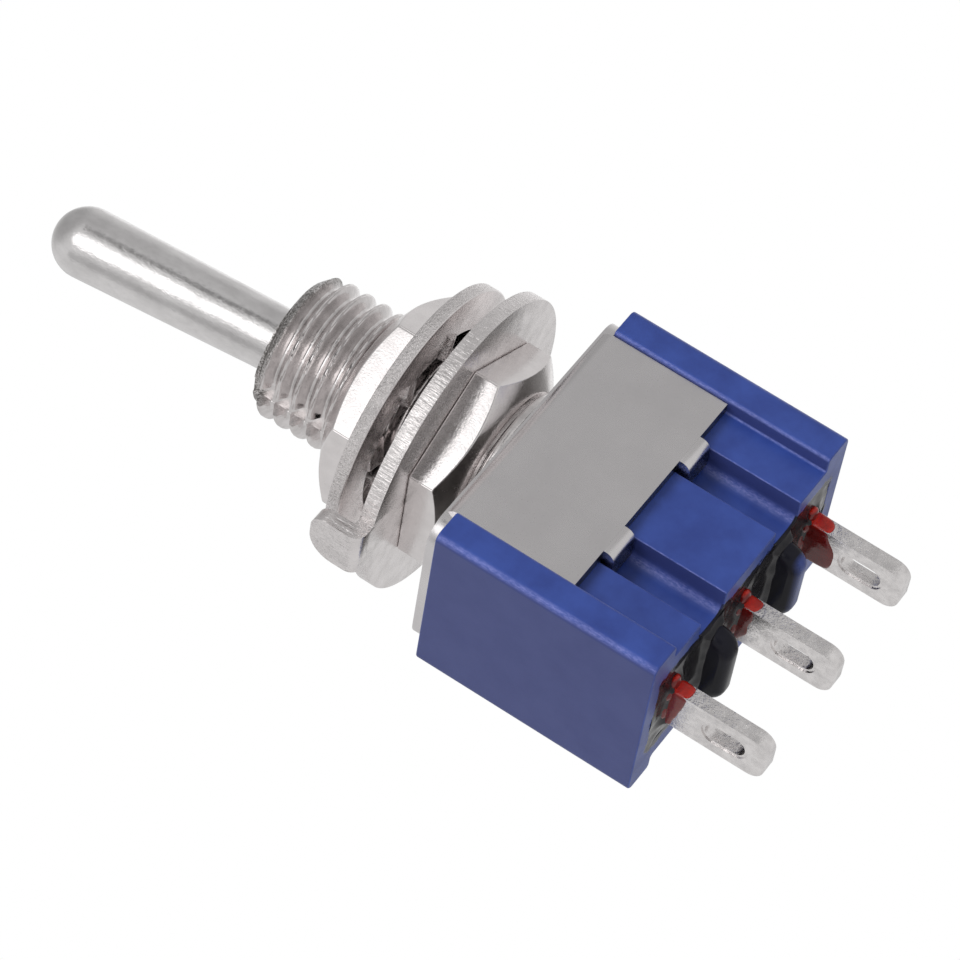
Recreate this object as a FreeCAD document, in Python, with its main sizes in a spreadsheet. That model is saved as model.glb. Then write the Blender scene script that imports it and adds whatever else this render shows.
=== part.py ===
"""Miniature panel toggle switch with a leaning bat lever and three solder terminals.

The origin lies on the bushing's axis, in the middle of the free thread above the upper nut.
+Z runs along the bushing towards the lever's tip, and +X along the row of terminals.
"""
import FreeCAD, Part
import math
import os

import Sketcher

DOC = FreeCAD.newDocument("toggle_switch")
SHEET = DOC.addObject("Spreadsheet::Sheet", "Sizes")
PIECES = []

SIZES = {
    # Moulded case
    "case_length": 13.2,
    "case_width": 7.9,
    "case_height": 9.46,
    "case_corner": 0.35,
    "rib_length": 1.27,
    "ledge_length": 1.95,
    "ledge_depth": 0.7,
    "groove_length": 1.68,
    "groove_headroom": 1.2,
    "groove_round": 0.5,
    "groove_wall": 0.6,
    "groove_roof": 0.66,
    "floor_thickness": 1.9,
    "end_wall": 1.0,
    "chamber_side_gap": 0.2,
    "mouth_wall": 0.8,
    "seal_border": 0.8,
    "seal_wall": 0.15,
    "seal_depth": 0.5,
    "barrier_thickness": 1.0,
    "barrier_inset": 0.1,
    "barrier_height": 1.15,
    "barrier_corner": 0.8,
    # Terminals and contacts
    "terminal_inset": 1.9,
    "terminal_width": 2.05,
    "terminal_thickness": 0.65,
    "terminal_length": 4.3,
    "terminal_corner": 0.5,
    "solder_slot_width": 1.0,
    "solder_slot_length": 1.8,
    "solder_slot_end": 0.85,
    "shelf_top": 3.85,
    "shelf_thickness": 0.55,
    "shelf_margin": 0.05,
    "contact_offset": 1.1,
    "contact_diameter": 1.2,
    "contact_height": 0.24,
    "contact_rise": 0.15,
    "contact_gap": 0.0384,
    "rivet_diameter": 0.6,
    "bead_wall": 0.25,
    "bead_spread": 0.3,
    "bead_height": 1.0,
    "bead_round": 0.28,
    # Rocking contact
    "rocker_end_inset": 0.4,
    "rocker_thickness": 0.4,
    "rocker_lift": 0.2,
    "rocker_ear_length": 1.6,
    "rocker_ear_drop": 0.9,
    "rocker_ear_thickness": 0.275,
    "rocker_ear_clearance": 0.05,
    "rocker_ratio": 0.6,
    "running_clearance": 0.02,
    # Stamped frame
    "sheet_thickness": 0.5,
    "frame_end_gap": 0.35,
    "frame_side_gap": 0.45,
    "frame_end_cut": 0.95,
    "flap_side_gap": 0.38,
    "flap_clearance": 0.01,
    "flap_drop": 5.06,
    "flap_bend": 0.6,
    "lock_tab_side_gap": 0.14,
    "lock_tab_end_gap": 0.26,
    "lock_tab_bend": 0.4,
    # Bushing
    "thread_diameter": 6.0,
    "thread_engagement": 0.25,
    "free_thread": 3.2,
    "mouth_chamfer": 0.4,
    "mouth_land": 0.48,
    "spigot_step": 0.1,
    "shoulder_step": 0.4,
    "shoulder_height": 0.34,
    "keyway_width": 0.9,
    "keyway_depth": 0.5,
    "bushing_wall": 1.15,
    "flare_wall": 0.6,
    "seat_rise": 1.0,
    "ball_clearance": 0.03,
    "ball_bore_clearance": 0.05,
    "swing_clearance": 0.075,
    # Lever, plunger and spring
    "pivot_depth": 1.3,
    "lever_lean": 5.0,
    "neck_step": 0.7,
    "neck_rise": 1.4,
    "shank_rise": 3.3,
    "shank_diameter": 2.56,
    "tip_diameter": 2.83,
    "tip_rise": 12.1,
    "tail_gap": 2.3,
    "tail_wall": 0.3,
    "plunger_bore": 1.0,
    "plunger_bore_depth": 3.0,
    "plunger_clearance": 0.03,
    "plunger_inset": 1.3,
    "plunger_gap": 0.05,
    "spring_wire": 0.1,
    "spring_clearance": 0.07,
    "spring_turns": 5,
    "spring_runs": 10,
    # Nuts
    "nut_wall": 0.95,
    "nut_thickness": 1.78,
    "nut_face_inset": 0.65,
    "nut_chamfer_angle": 30,
    "nut_bore_clearance": 0.01,
    "nut_float": 0.2,
    # Lock washer and locating ring
    "panel_gap": 1.15,
    "washer_diameter": 11.2,
    "washer_thickness": 0.57,
    "washer_bore_gap": 0.9,
    "tooth_count": 8,
    "tooth_width": 1.1,
    "tooth_thickness": 0.4,
    "tooth_twist": 20,
    "tooth_root": 0.15,
    "tooth_clearance": 0.05,
    "ring_diameter": 12.4,
    "ring_thickness": 0.62,
    "ring_bore_clearance": 0.1,
    "key_root": 0.2,
    "key_side_clearance": 0.05,
    "key_tip_clearance": 0.2,
    "ring_tab_width": 2.9,
    "ring_tab_overhang": 0.75,
    "ring_tab_root": 0.6,
    "ring_tab_height": 2.1,
    "ring_tab_corner": 0.9,
    "ring_tab_bend": 0.5,
}

# Heights along the axis, from the origin down
THREAD_TOP = "free_thread / 2"
BUSHING_TOP = f"{THREAD_TOP} + mouth_chamfer"
UPPER_NUT_TOP = "0 - free_thread / 2"
UPPER_NUT_BASE = f"{UPPER_NUT_TOP} - nut_thickness"
WASHER_BASE = f"{UPPER_NUT_BASE} - washer_thickness"
RING_BASE = f"{WASHER_BASE} - panel_gap - ring_thickness"
LOWER_NUT_BASE = f"{RING_BASE} - nut_thickness"
SHOULDER_TOP = f"{LOWER_NUT_BASE} - nut_float"
FRAME_TOP = f"{SHOULDER_TOP} - shoulder_height"
CASE_TOP = f"{FRAME_TOP} - sheet_thickness"
CASE_BASE = f"{CASE_TOP} - case_height"
PIVOT = "0 - pivot_depth"
ROCKER_AXIS = f"{CASE_BASE} + post_height - terminal_thickness / 2"

# Sizes that follow from the driving ones and a named gap or wall
FITTED = {
    # Case, from the inside out
    "rocker_width": "terminal_width + 2 * rocker_ear_clearance + 2 * rocker_ear_thickness",
    "chamber_width": "rocker_width + 2 * chamber_side_gap",
    "chamber_length": "case_length - 2 * end_wall",
    "groove_floor": "chamber_width / 2 + groove_wall",
    "recessed_face": "case_width / 2 - ledge_depth",
    "groove_middle": "case_length / 2 - rib_length - ledge_length - groove_length / 2",
    "mouth_width": "2 * recessed_face - 2 * mouth_wall",
    "groove_height": "case_height - flap_drop + groove_headroom",
    "mouth_depth": "case_height - groove_height - groove_roof",
    "seal_length": "case_length - 2 * seal_border",
    "seal_width": "2 * groove_floor - 2 * seal_wall",
    "barrier_width": "seal_width - 2 * barrier_inset",
    # Bushing, inside and outside its thread
    "engaged_diameter": "thread_diameter - 2 * thread_engagement",
    "mouth_diameter": "thread_diameter - 2 * mouth_chamfer - 2 * mouth_land",
    "spigot_diameter": "thread_diameter + 2 * spigot_step",
    "shoulder_diameter": "thread_diameter + 2 * shoulder_step",
    "keyway_floor": "thread_diameter / 2 - keyway_depth",
    "ball_diameter": "thread_diameter - 2 * bushing_wall",
    "ball_bore": "ball_diameter / 2 + ball_bore_clearance",
    "flare_radius": "spigot_diameter / 2 - flare_wall",
    # Lever, swinging until its tail meets the flare
    "neck_diameter": "ball_diameter - 2 * neck_step",
    "tail_diameter": "plunger_bore + 2 * tail_wall",
    "swing_depth": f"({PIVOT}) - ({CASE_TOP})",
    "swing_reach": "flare_radius - swing_clearance",
    "swing_span": "sqrt(swing_depth ^ 2 + swing_reach ^ 2)",
    "lever_throw": "atan(swing_reach / swing_depth) - asin(tail_diameter / 2 / swing_span)",
    "swing_start": "tail_diameter / 2 / cos(lever_throw) + swing_clearance",
    "flare_depth": "(ball_bore - swing_start) / tan(lever_throw)",
    # Terminals, beads and contacts
    "terminal_pitch": "case_length / 2 - terminal_inset",
    "contact_arm": "terminal_pitch - contact_offset",
    "shelf_reach": "contact_offset + contact_diameter / 2 + shelf_margin",
    "bead_length": "terminal_width + 2 * bead_wall",
    "bead_thickness": "terminal_thickness + 2 * bead_spread",
    "rocker_length": "2 * terminal_pitch - 2 * rocker_end_inset",
    "rocker_tilt": "lever_lean * rocker_ratio",
    "rocker_throw": "lever_throw * rocker_ratio",
    "rocker_dip": "contact_arm * sin(rocker_throw) - rocker_lift * cos(rocker_throw)",
    "post_height": "shelf_top + contact_height + contact_gap + rocker_dip + terminal_thickness / 2",
    # Stamped frame, over the case
    "frame_length": "case_length - 2 * frame_end_gap",
    "frame_end_width": "case_width - 2 * frame_side_gap",
    "flap_length": "case_length - 2 * rib_length - 2 * flap_side_gap",
    "flap_face": "recessed_face + flap_clearance + sheet_thickness",
    "lock_tab_width": "groove_length - 2 * lock_tab_side_gap",
    "lock_tab_end": "groove_floor + lock_tab_end_gap",
    # Tail, plunger and spring, down to the rocking contact
    "tail_length": f"({PIVOT}) - ({ROCKER_AXIS}) - tail_gap",
    "plunger_bore_top": "tail_length - plunger_bore_depth",
    "plunger_top": "tail_length - plunger_inset",
    "spring_diameter": "plunger_bore - 2 * spring_clearance - spring_wire",
    # Nuts, lock washer and locating ring, round the thread
    "nut_width": "thread_diameter + 2 * nut_wall",
    "nut_face_diameter": "nut_width - 2 * nut_face_inset",
    "washer_bore": "thread_diameter + 2 * washer_bore_gap",
    "ring_bore": "thread_diameter + 2 * ring_bore_clearance",
    "key_width": "keyway_width - 2 * key_side_clearance",
    "key_reach": "keyway_floor + key_tip_clearance",
    "ring_tab_face": "ring_diameter / 2 + ring_tab_overhang",
}


def fill_sheet():
    """Writes the driving sizes as numbers, and what follows from them as formulas."""
    cells = {name: str(number) for name, number in SIZES.items()}
    cells.update({name: f"={formula}" for name, formula in FITTED.items()})
    for row, (name, content) in enumerate(cells.items(), start=1):
        SHEET.set(f"A{row}", name)
        SHEET.setAlias(f"B{row}", name)
        SHEET.set(f"B{row}", content)
    DOC.recompute()


def size(text):
    """Expression text with each size's name made to point at the sheet."""
    words = text.replace("(", "( ").replace(")", " )").split()
    return " ".join(f"Sizes.{word}" if word in SIZES or word in FITTED else word for word in words)


def value(text):
    """The number that an expression of sizes stands for."""
    return float(SHEET.evalExpression(size(text)))


def bind(thing, path, text):
    """Ties one property of a document object to an expression of sizes."""
    thing.setExpression(path, size(text))


def place(thing, x="0", y="0", z="0"):
    """Puts an object at a point given by expressions."""
    for letter, text in zip("xyz", (x, y, z)):
        if text != "0":
            bind(thing, f"Placement.Base.{letter}", text)


def tilt_about_y(thing, angle):
    """Turns an object about the Y direction through its own origin."""
    thing.Placement.Rotation = FreeCAD.Rotation(FreeCAD.Vector(0, 1, 0), value(angle))
    bind(thing, "Placement.Rotation.Angle", angle)


def piece(thing, label):
    """Names an object as one of the switch's pieces."""
    thing.Label = label
    PIECES.append(thing)
    return thing


def new_body(label):
    """A body that becomes one piece of the switch."""
    return piece(DOC.addObject("PartDesign::Body", label.title().replace("_", "")), label)


def sketch_on(body, role="XY_Plane", lift="0"):
    """An empty sketch on one of the body's origin planes, moved along the plane's normal."""
    sketch = body.newObject("Sketcher::SketchObject", "Sketch")
    plane = next(each for each in body.Origin.OriginFeatures if each.Role == role)
    sketch.AttachmentSupport = [(plane, "")]
    sketch.MapMode = "FlatFace"
    if lift != "0":
        bind(sketch, "AttachmentOffset.Base.z", lift)
    return sketch


def fix_point(sketch, geometry, end, x, y):
    """Holds one point of a sketch at a place given by expressions."""
    for kind, axis, text in (("DistanceX", -2, x), ("DistanceY", -1, y)):
        if text == "0":
            sketch.addConstraint(Sketcher.Constraint("PointOnObject", geometry, end, axis))
            continue
        index = sketch.addConstraint(Sketcher.Constraint(kind, -1, 1, geometry, end, value(text)))
        bind(sketch, f"Constraints[{index}]", text)


def polygon(sketch, corners):
    """A closed outline of straight lines through the corners."""
    points = [FreeCAD.Vector(value(x), value(y), 0) for x, y in corners]
    first = sketch.GeometryCount
    for start, end in zip(points, points[1:] + points[:1]):
        sketch.addGeometry(Part.LineSegment(start, end), False)
    for index, (x, y) in enumerate(corners):
        follower = first + (index + 1) % len(corners)
        sketch.addConstraint(Sketcher.Constraint("Coincident", first + index, 2, follower, 1))
        fix_point(sketch, first + index, 1, x, y)


def rectangle(sketch, left, right, low, high):
    """A closed rectangle between two pairs of expressions."""
    polygon(sketch, [(left, low), (right, low), (right, high), (left, high)])


def circle(sketch, radius, x="0", y="0"):
    """A circle of a radius given by an expression."""
    centre = FreeCAD.Vector(value(x), value(y), 0)
    geometry = sketch.addGeometry(Part.Circle(centre, FreeCAD.Vector(0, 0, 1), value(radius)), False)
    fix_point(sketch, geometry, 3, x, y)
    index = sketch.addConstraint(Sketcher.Constraint("Radius", geometry, value(radius)))
    bind(sketch, f"Constraints[{index}]", radius)


def pad(body, sketch, length, down=False, both_ways=False):
    """Extrudes a sketch along its normal, against it, or equally both ways."""
    feature = body.newObject("PartDesign::Pad", "Pad")
    return set_extrusion(feature, sketch, length, down, both_ways)


def pocket(body, sketch, length, up=False, both_ways=False):
    """Cuts a sketch's outline against its normal, along it, or both ways."""
    feature = body.newObject("PartDesign::Pocket", "Pocket")
    return set_extrusion(feature, sketch, length, up, both_ways)


def set_extrusion(feature, sketch, length, turned, both_ways):
    """Gives a pad or pocket its profile, length and direction."""
    feature.Profile = sketch
    feature.Reversed = turned
    if both_ways:
        feature.SideType = "Symmetric"
    bind(feature, "Length", length)
    sketch.Visibility = False
    return feature


def turned(body, kind, sketch):
    """Turns a sketch about the body's Z axis, as added or removed material."""
    feature = body.newObject(f"PartDesign::{kind}", kind)
    feature.Profile = sketch
    feature.ReferenceAxis = (sketch, ["V_Axis"])
    feature.Angle = 360
    return feature


def round_edges(body, radius, test):
    """Fillets the edges of the body's last feature that pass a test on their ends."""
    DOC.recompute()
    base = body.Tip
    names = [
        f"Edge{number}"
        for number, edge in enumerate(base.Shape.Edges, start=1)
        if len(edge.Vertexes) == 2 and test(*(vertex.Point for vertex in edge.Vertexes))
    ]
    feature = body.newObject("PartDesign::Fillet", "Fillet")
    feature.Base = (base, names)
    bind(feature, "Radius", radius)
    return feature


def near(first, second):
    """True where two lengths agree to a few micrometres."""
    return abs(first - second) < 0.004


def upright_at(x, y):
    """A test for edges along Z that stand at plus or minus x and y."""
    def test(start, end):
        along_z = near(start.x, end.x) and near(start.y, end.y)
        return along_z and near(abs(start.x), value(x)) and near(abs(start.y), value(y))
    return test


def cylinder(radius, height, x="0", y="0", z="0"):
    """A plain cylinder along Z."""
    shape = DOC.addObject("Part::Cylinder", "Cylinder")
    bind(shape, "Radius", radius)
    bind(shape, "Height", height)
    place(shape, x, y, z)
    return shape


def cone(low_radius, high_radius, height, z):
    """A cone along Z that starts at a height."""
    shape = DOC.addObject("Part::Cone", "Cone")
    bind(shape, "Radius1", low_radius)
    bind(shape, "Radius2", high_radius)
    bind(shape, "Height", height)
    place(shape, z=z)
    return shape


def sphere(radius, z="0", x="0"):
    """A ball with its centre on a height."""
    shape = DOC.addObject("Part::Sphere", "Sphere")
    bind(shape, "Radius", radius)
    place(shape, x=x, z=z)
    return shape


def block(length, width, height, x="0", z="0"):
    """A box centred on X and Y about its place, standing on its base."""
    shape = DOC.addObject("Part::Box", "Box")
    bind(shape, "Length", length)
    bind(shape, "Width", width)
    bind(shape, "Height", height)
    place(shape, x=f"{x} - ({length}) / 2", y=f"0 - ({width}) / 2", z=z)
    return shape


def fused(shapes):
    """One solid made of several."""
    joined = DOC.addObject("Part::MultiFuse", "Fusion")
    joined.Shapes = shapes
    joined.Refine = True
    return joined


def cut(base, tools):
    """A solid with other solids taken out of it."""
    removed = tools[0] if len(tools) == 1 else fused(tools)
    result = DOC.addObject("Part::Cut", "Cut")
    result.Base = base
    result.Tool = removed
    return result


def make_case():
    """Moulded case: ribbed wide faces, contact chamber, terminal slots and two barriers."""
    body = new_body("case")
    place(body, z=CASE_BASE)
    end, face = "case_length / 2", "case_width / 2"
    inner_end, inner_face = f"{end} - rib_length", "recessed_face"
    outline = sketch_on(body)
    quarter = [(end, inner_face), (end, face), (inner_end, face), (inner_end, inner_face)]
    corners = quarter[1:]
    corners += [(f"0 - ({x})", y) for x, y in reversed(corners)]
    corners += [(x, f"0 - ({y})") for x, y in reversed(corners)]
    polygon(outline, corners)
    pad(body, outline, "case_height")
    round_edges(body, "case_corner", upright_at(end, face))
    round_edges(body, "case_corner / 2", upright_at(inner_end, face))
    cut_case_grooves(body)
    hollow_case(body)
    add_case_barriers(body)


def cut_case_grooves(body):
    """Four round-bottomed grooves that take the frame's locking tabs."""
    for x_side in ("", "0 - "):
        for y_side in ("", "0 - "):
            sketch = sketch_on(body)
            x = f"{x_side}groove_middle"
            low, high = f"{y_side}groove_floor", f"{y_side}case_width / 2"
            rectangle(sketch, f"{x} - groove_length / 2", f"{x} + groove_length / 2", low, high)
            pocket(body, sketch, "groove_height", up=True)
    corner = "min( groove_round ; ( recessed_face - groove_floor ) * 0.9 )"
    for x in ("groove_middle - groove_length / 2", "groove_middle + groove_length / 2"):
        round_edges(body, corner, upright_at(x, "groove_floor"))


def hollow_case(body):
    """Contact chamber, its wider mouth, the seal's recess and the terminals' slots."""
    chamber = sketch_on(body, lift="case_height")
    centred_rectangle(chamber, "chamber_length", "chamber_width")
    pocket(body, chamber, "case_height - floor_thickness")
    mouth = sketch_on(body, lift="case_height")
    centred_rectangle(mouth, "chamber_length", "mouth_width")
    pocket(body, mouth, "mouth_depth")
    recess = sketch_on(body)
    centred_rectangle(recess, "seal_length", "seal_width")
    pocket(body, recess, "seal_depth", up=True)
    slots = sketch_on(body)
    for x in terminal_places():
        rectangle(slots, f"{x} - terminal_thickness / 2", f"{x} + terminal_thickness / 2",
                  "0 - terminal_width / 2", "terminal_width / 2")
    pocket(body, slots, "case_height", up=True)


def centred_rectangle(sketch, length, width):
    """A rectangle about the sketch's origin."""
    rectangle(sketch, f"0 - {length} / 2", f"{length} / 2", f"0 - {width} / 2", f"{width} / 2")


def terminal_places():
    """The three terminals' places along X."""
    return ("0 - terminal_pitch", "0", "terminal_pitch")


def barrier_places():
    """The two barriers' places along X, half-way between terminals."""
    return ("0 - terminal_pitch / 2", "terminal_pitch / 2")


def add_case_barriers(body):
    """Two upright tongues between the terminals, rounded at their free corners."""
    sketch = sketch_on(body, lift="0 - barrier_height")
    for x in barrier_places():
        rectangle(sketch, f"{x} - barrier_thickness / 2", f"{x} + barrier_thickness / 2",
                  "0 - barrier_width / 2", "barrier_width / 2")
    pad(body, sketch, "barrier_height + seal_depth")

    def free_corner(start, end):
        low = near(start.z, end.z) and near(start.z, value("0 - barrier_height"))
        return low and near(start.y, end.y) and near(abs(start.y), value("barrier_width / 2"))

    round_edges(body, "barrier_corner", free_corner)


def make_base_seal():
    """Potting that fills the recess around the terminals and barriers."""
    pool = block("seal_length", "seal_width", "seal_depth", z=CASE_BASE)
    holes = [block("terminal_thickness", "terminal_width", "seal_depth", x, CASE_BASE)
             for x in terminal_places()]
    holes += [block("barrier_thickness", "barrier_width", "seal_depth", x, CASE_BASE)
              for x in barrier_places()]
    piece(cut(pool, holes), "base_seal")


def make_terminal(label, x, top, shelf_side=0):
    """Flat terminal with a solder slot, with an inner contact shelf on the end ones."""
    body = new_body(label)
    place(body, x=x, z=CASE_BASE)
    face = sketch_on(body, "YZ_Plane")
    rectangle(face, "0 - terminal_width / 2", "terminal_width / 2", "0 - terminal_length", top)
    pad(body, face, "terminal_thickness", both_ways=True)
    round_edges(body, "terminal_corner", tip_corner)
    cut_solder_slot(body)
    if shelf_side:
        shelf = sketch_on(body, lift="shelf_top")
        far = "shelf_reach" if shelf_side > 0 else "0 - shelf_reach"
        rectangle(shelf, "0", far, "0 - terminal_width / 2", "terminal_width / 2")
        pad(body, shelf, "shelf_thickness", down=True)
        rivet = sketch_on(body, lift="shelf_top")
        circle(rivet, "rivet_diameter / 2", "contact_offset" if shelf_side > 0 else "0 - contact_offset")
        pocket(body, rivet, "shelf_thickness")
    else:
        round_edges(body, "terminal_thickness * 0.49", post_edge)


def tip_corner(start, end):
    """True for the two edges across the terminal's free end."""
    low = near(start.z, end.z) and near(start.z, value("0 - terminal_length"))
    return low and near(start.y, end.y)


def post_edge(start, end):
    """True for the two long edges along the top of the centre terminal."""
    high = near(start.z, end.z) and near(start.z, value("post_height"))
    return high and near(start.x, end.x)


def cut_solder_slot(body):
    """Round-ended slot near the terminal's tip."""
    low = "solder_slot_end + solder_slot_width / 2 - terminal_length"
    high = "solder_slot_end + solder_slot_length - solder_slot_width / 2 - terminal_length"
    middle = sketch_on(body, "YZ_Plane")
    rectangle(middle, "0 - solder_slot_width / 2", "solder_slot_width / 2", low, high)
    pocket(body, middle, "terminal_thickness", both_ways=True)
    for height in (low, high):
        end = sketch_on(body, "YZ_Plane")
        circle(end, "solder_slot_width / 2", y=height)
        pocket(body, end, "terminal_thickness", both_ways=True)


def make_fixed_contact(label, x):
    """Riveted contact: a domed head on the terminal's shelf and a shank through it."""
    seat = f"{CASE_BASE} + shelf_top"
    edge = "contact_diameter / 2"
    dome_radius = f"( ({edge}) ^ 2 + contact_rise ^ 2 ) / ( 2 * contact_rise )"
    head = cylinder(edge, "contact_height", x, z=seat)
    dome = sphere(dome_radius, f"{seat} + contact_height - {dome_radius}", x)
    crown = DOC.addObject("Part::MultiCommon", "Crown")
    crown.Shapes = [head, dome]
    shank = cylinder("rivet_diameter / 2", "shelf_thickness", x, z=f"{seat} - shelf_thickness")
    piece(fused([crown, shank]), label)


def make_varnish_bead(label, x):
    """Soft lump of sealing varnish round a terminal's root."""
    base = f"{CASE_BASE} - bead_height"
    lump = block("bead_thickness", "bead_length", "bead_height", x, base)
    DOC.recompute()
    edges = [number for number, edge in enumerate(lump.Shape.Edges, start=1) if bead_edge(edge)]
    soft = DOC.addObject("Part::Chamfer", "Soft")
    soft.Base = lump
    soft.Edges = [(number, value("bead_round"), value("bead_round")) for number in edges]
    root = block("terminal_thickness", "terminal_width", "bead_height", x, base)
    piece(cut(soft, [root]), label)


def bead_edge(edge):
    """True for the bead's edges that don't lie on the seal."""
    return min(vertex.Z for vertex in edge.Vertexes) < value(f"{CASE_BASE} - bead_height / 2")


def make_rocker():
    """Rocking contact: a strip with a half-round seat and two ears astride the centre post."""
    body = new_body("rocker_contact")
    place(body, z=ROCKER_AXIS)
    tilt_about_y(body, "rocker_tilt")
    strip = sketch_on(body, lift="rocker_lift")
    centred_rectangle(strip, "rocker_length", "rocker_width")
    pad(body, strip, "rocker_thickness")
    ears = sketch_on(body, lift="0 - rocker_ear_drop")
    inner = "rocker_width / 2 - rocker_ear_thickness"
    for low, high in ((inner, "rocker_width / 2"), ("0 - rocker_width / 2", f"0 - ({inner})")):
        rectangle(ears, "0 - rocker_ear_length / 2", "rocker_ear_length / 2", low, high)
    pad(body, ears, "rocker_ear_drop + rocker_lift")
    seat = sketch_on(body, "XZ_Plane")
    circle(seat, "terminal_thickness / 2 + running_clearance")
    pocket(body, seat, f"2 * ({inner})", both_ways=True)


def make_frame():
    """Stamped frame: a plate over the case, two flaps down its faces and four locking tabs."""
    body = new_body("frame")
    place(body, z=CASE_TOP)
    plate = sketch_on(body)
    end, end_side, side = "frame_length / 2", "frame_end_width / 2", "flap_face"
    flap = "flap_length / 2"
    quarter = [(end, f"{end_side} - frame_end_cut"), (f"{end} - frame_end_cut", end_side),
               (flap, end_side), (flap, side)]
    corners = quarter + [(f"0 - ({x})", y) for x, y in reversed(quarter)]
    corners += [(x, f"0 - ({y})") for x, y in reversed(corners)]
    polygon(plate, corners)
    pad(body, plate, "sheet_thickness")
    flaps = sketch_on(body)
    for low, high in (("flap_face - sheet_thickness", "flap_face"),
                      ("0 - flap_face", "sheet_thickness - flap_face")):
        rectangle(flaps, f"0 - {flap}", flap, low, high)
    pad(body, flaps, "flap_drop", down=True)

    add_lock_tabs(body)
    round_edges(body, "flap_bend", outer_edge_at("sheet_thickness"))
    round_edges(body, "lock_tab_bend", outer_edge_at("0 - flap_drop - sheet_thickness"))
    hole = sketch_on(body, lift="sheet_thickness")
    circle(hole, "spigot_diameter / 2")
    pocket(body, hole, "sheet_thickness")


def outer_edge_at(height):
    """A test for edges along X on the flaps' outer faces at a height."""
    def test(start, end):
        level = near(start.z, end.z) and near(start.z, value(height))
        return level and near(start.y, end.y) and near(abs(start.y), value("flap_face"))
    return test


def add_lock_tabs(body):
    """Tabs below the flaps' lower edges, folded into the case's grooves."""
    tabs = sketch_on(body, lift="0 - flap_drop - sheet_thickness")
    for x_side in ("", "0 - "):
        x = f"{x_side}groove_middle"
        for y_side in ("", "0 - "):
            rectangle(tabs, f"{x} - lock_tab_width / 2", f"{x} + lock_tab_width / 2",
                      f"{y_side}flap_face", f"{y_side}lock_tab_end")
    pad(body, tabs, "sheet_thickness")


def make_bushing():
    """Turned bushing: threaded nose, ball seat, flared tail bore, shoulder and keyway."""
    body = new_body("bushing")
    nose, engaged = "thread_diameter / 2", "engaged_diameter / 2"
    seat = "ball_diameter / 2 + ball_clearance"
    throat = f"sqrt( ({seat}) ^ 2 - seat_rise ^ 2 )"
    profile = sketch_on(body, "XZ_Plane")
    polygon(profile, [
        ("mouth_diameter / 2", BUSHING_TOP),
        (f"{nose} - mouth_chamfer", BUSHING_TOP),
        (nose, THREAD_TOP),
        (nose, UPPER_NUT_TOP),
        (engaged, UPPER_NUT_TOP),
        (engaged, UPPER_NUT_BASE),
        (nose, UPPER_NUT_BASE),
        (nose, RING_BASE),
        (engaged, RING_BASE),
        (engaged, SHOULDER_TOP),
        ("shoulder_diameter / 2", SHOULDER_TOP),
        ("shoulder_diameter / 2", FRAME_TOP),
        ("spigot_diameter / 2", FRAME_TOP),
        ("spigot_diameter / 2", CASE_TOP),
        ("flare_radius", CASE_TOP),
        ("ball_bore", f"{PIVOT} - flare_depth"),
        ("ball_bore", PIVOT),
        (throat, PIVOT),
        (throat, f"{PIVOT} + seat_rise"),
    ])
    turned(body, "Revolution", profile)
    ball_seat = body.newObject("PartDesign::SubtractiveSphere", "BallSeat")
    plane = next(each for each in body.Origin.OriginFeatures if each.Role == "XY_Plane")
    ball_seat.AttachmentSupport = [(plane, "")]
    ball_seat.MapMode = "FlatFace"
    bind(ball_seat, "AttachmentOffset.Base.z", PIVOT)
    bind(ball_seat, "Radius", seat)
    keyway = sketch_on(body, lift=BUSHING_TOP)
    rectangle(keyway, "0 - shoulder_diameter / 2", "0 - keyway_floor",
              "0 - keyway_width / 2", "keyway_width / 2")
    pocket(body, keyway, f"{BUSHING_TOP} - ({SHOULDER_TOP})")


def make_lever():
    """Turned bat lever: round tip, tapered shank, ball and hollow tail."""
    shank = cone("shank_diameter / 2", "tip_diameter / 2", "tip_rise - shank_rise", "shank_rise")
    neck = cone("neck_diameter / 2", "shank_diameter / 2", "shank_rise - neck_rise", "neck_rise")
    root = cylinder("neck_diameter / 2", "neck_rise")
    solid = fused([
        sphere("tip_diameter / 2", "tip_rise"), shank, neck, root,
        sphere("ball_diameter / 2"),
        cylinder("tail_diameter / 2", "tail_length", z="0 - tail_length"),
    ])
    bore = cylinder("plunger_bore / 2", "tail_length - plunger_bore_top", z="0 - tail_length")
    swing_with_lever(piece(cut(solid, [bore]), "lever"))


def swing_with_lever(thing):
    """Puts a piece on the ball's centre and leans it with the lever."""
    place(thing, z=PIVOT)
    tilt_about_y(thing, "0 - lever_lean")


def plunger_tip():
    """Distance from the ball's centre to the centre of the plunger's round tip."""
    axis_drop = f"({PIVOT}) - ({ROCKER_AXIS})"
    return (f"{axis_drop} - rocker_lift - rocker_thickness - plunger_gap"
            " - (plunger_bore / 2 - plunger_clearance)")


def make_plunger():
    """Round-nosed plunger in the lever's tail, over the rocking contact."""
    radius = "plunger_bore / 2 - plunger_clearance"
    tip = plunger_tip()
    stem = cylinder(radius, f"{tip} - plunger_top", z=f"0 - ({tip})")
    swing_with_lever(piece(fused([stem, sphere(radius, f"0 - ({tip})")]), "plunger"))


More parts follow.
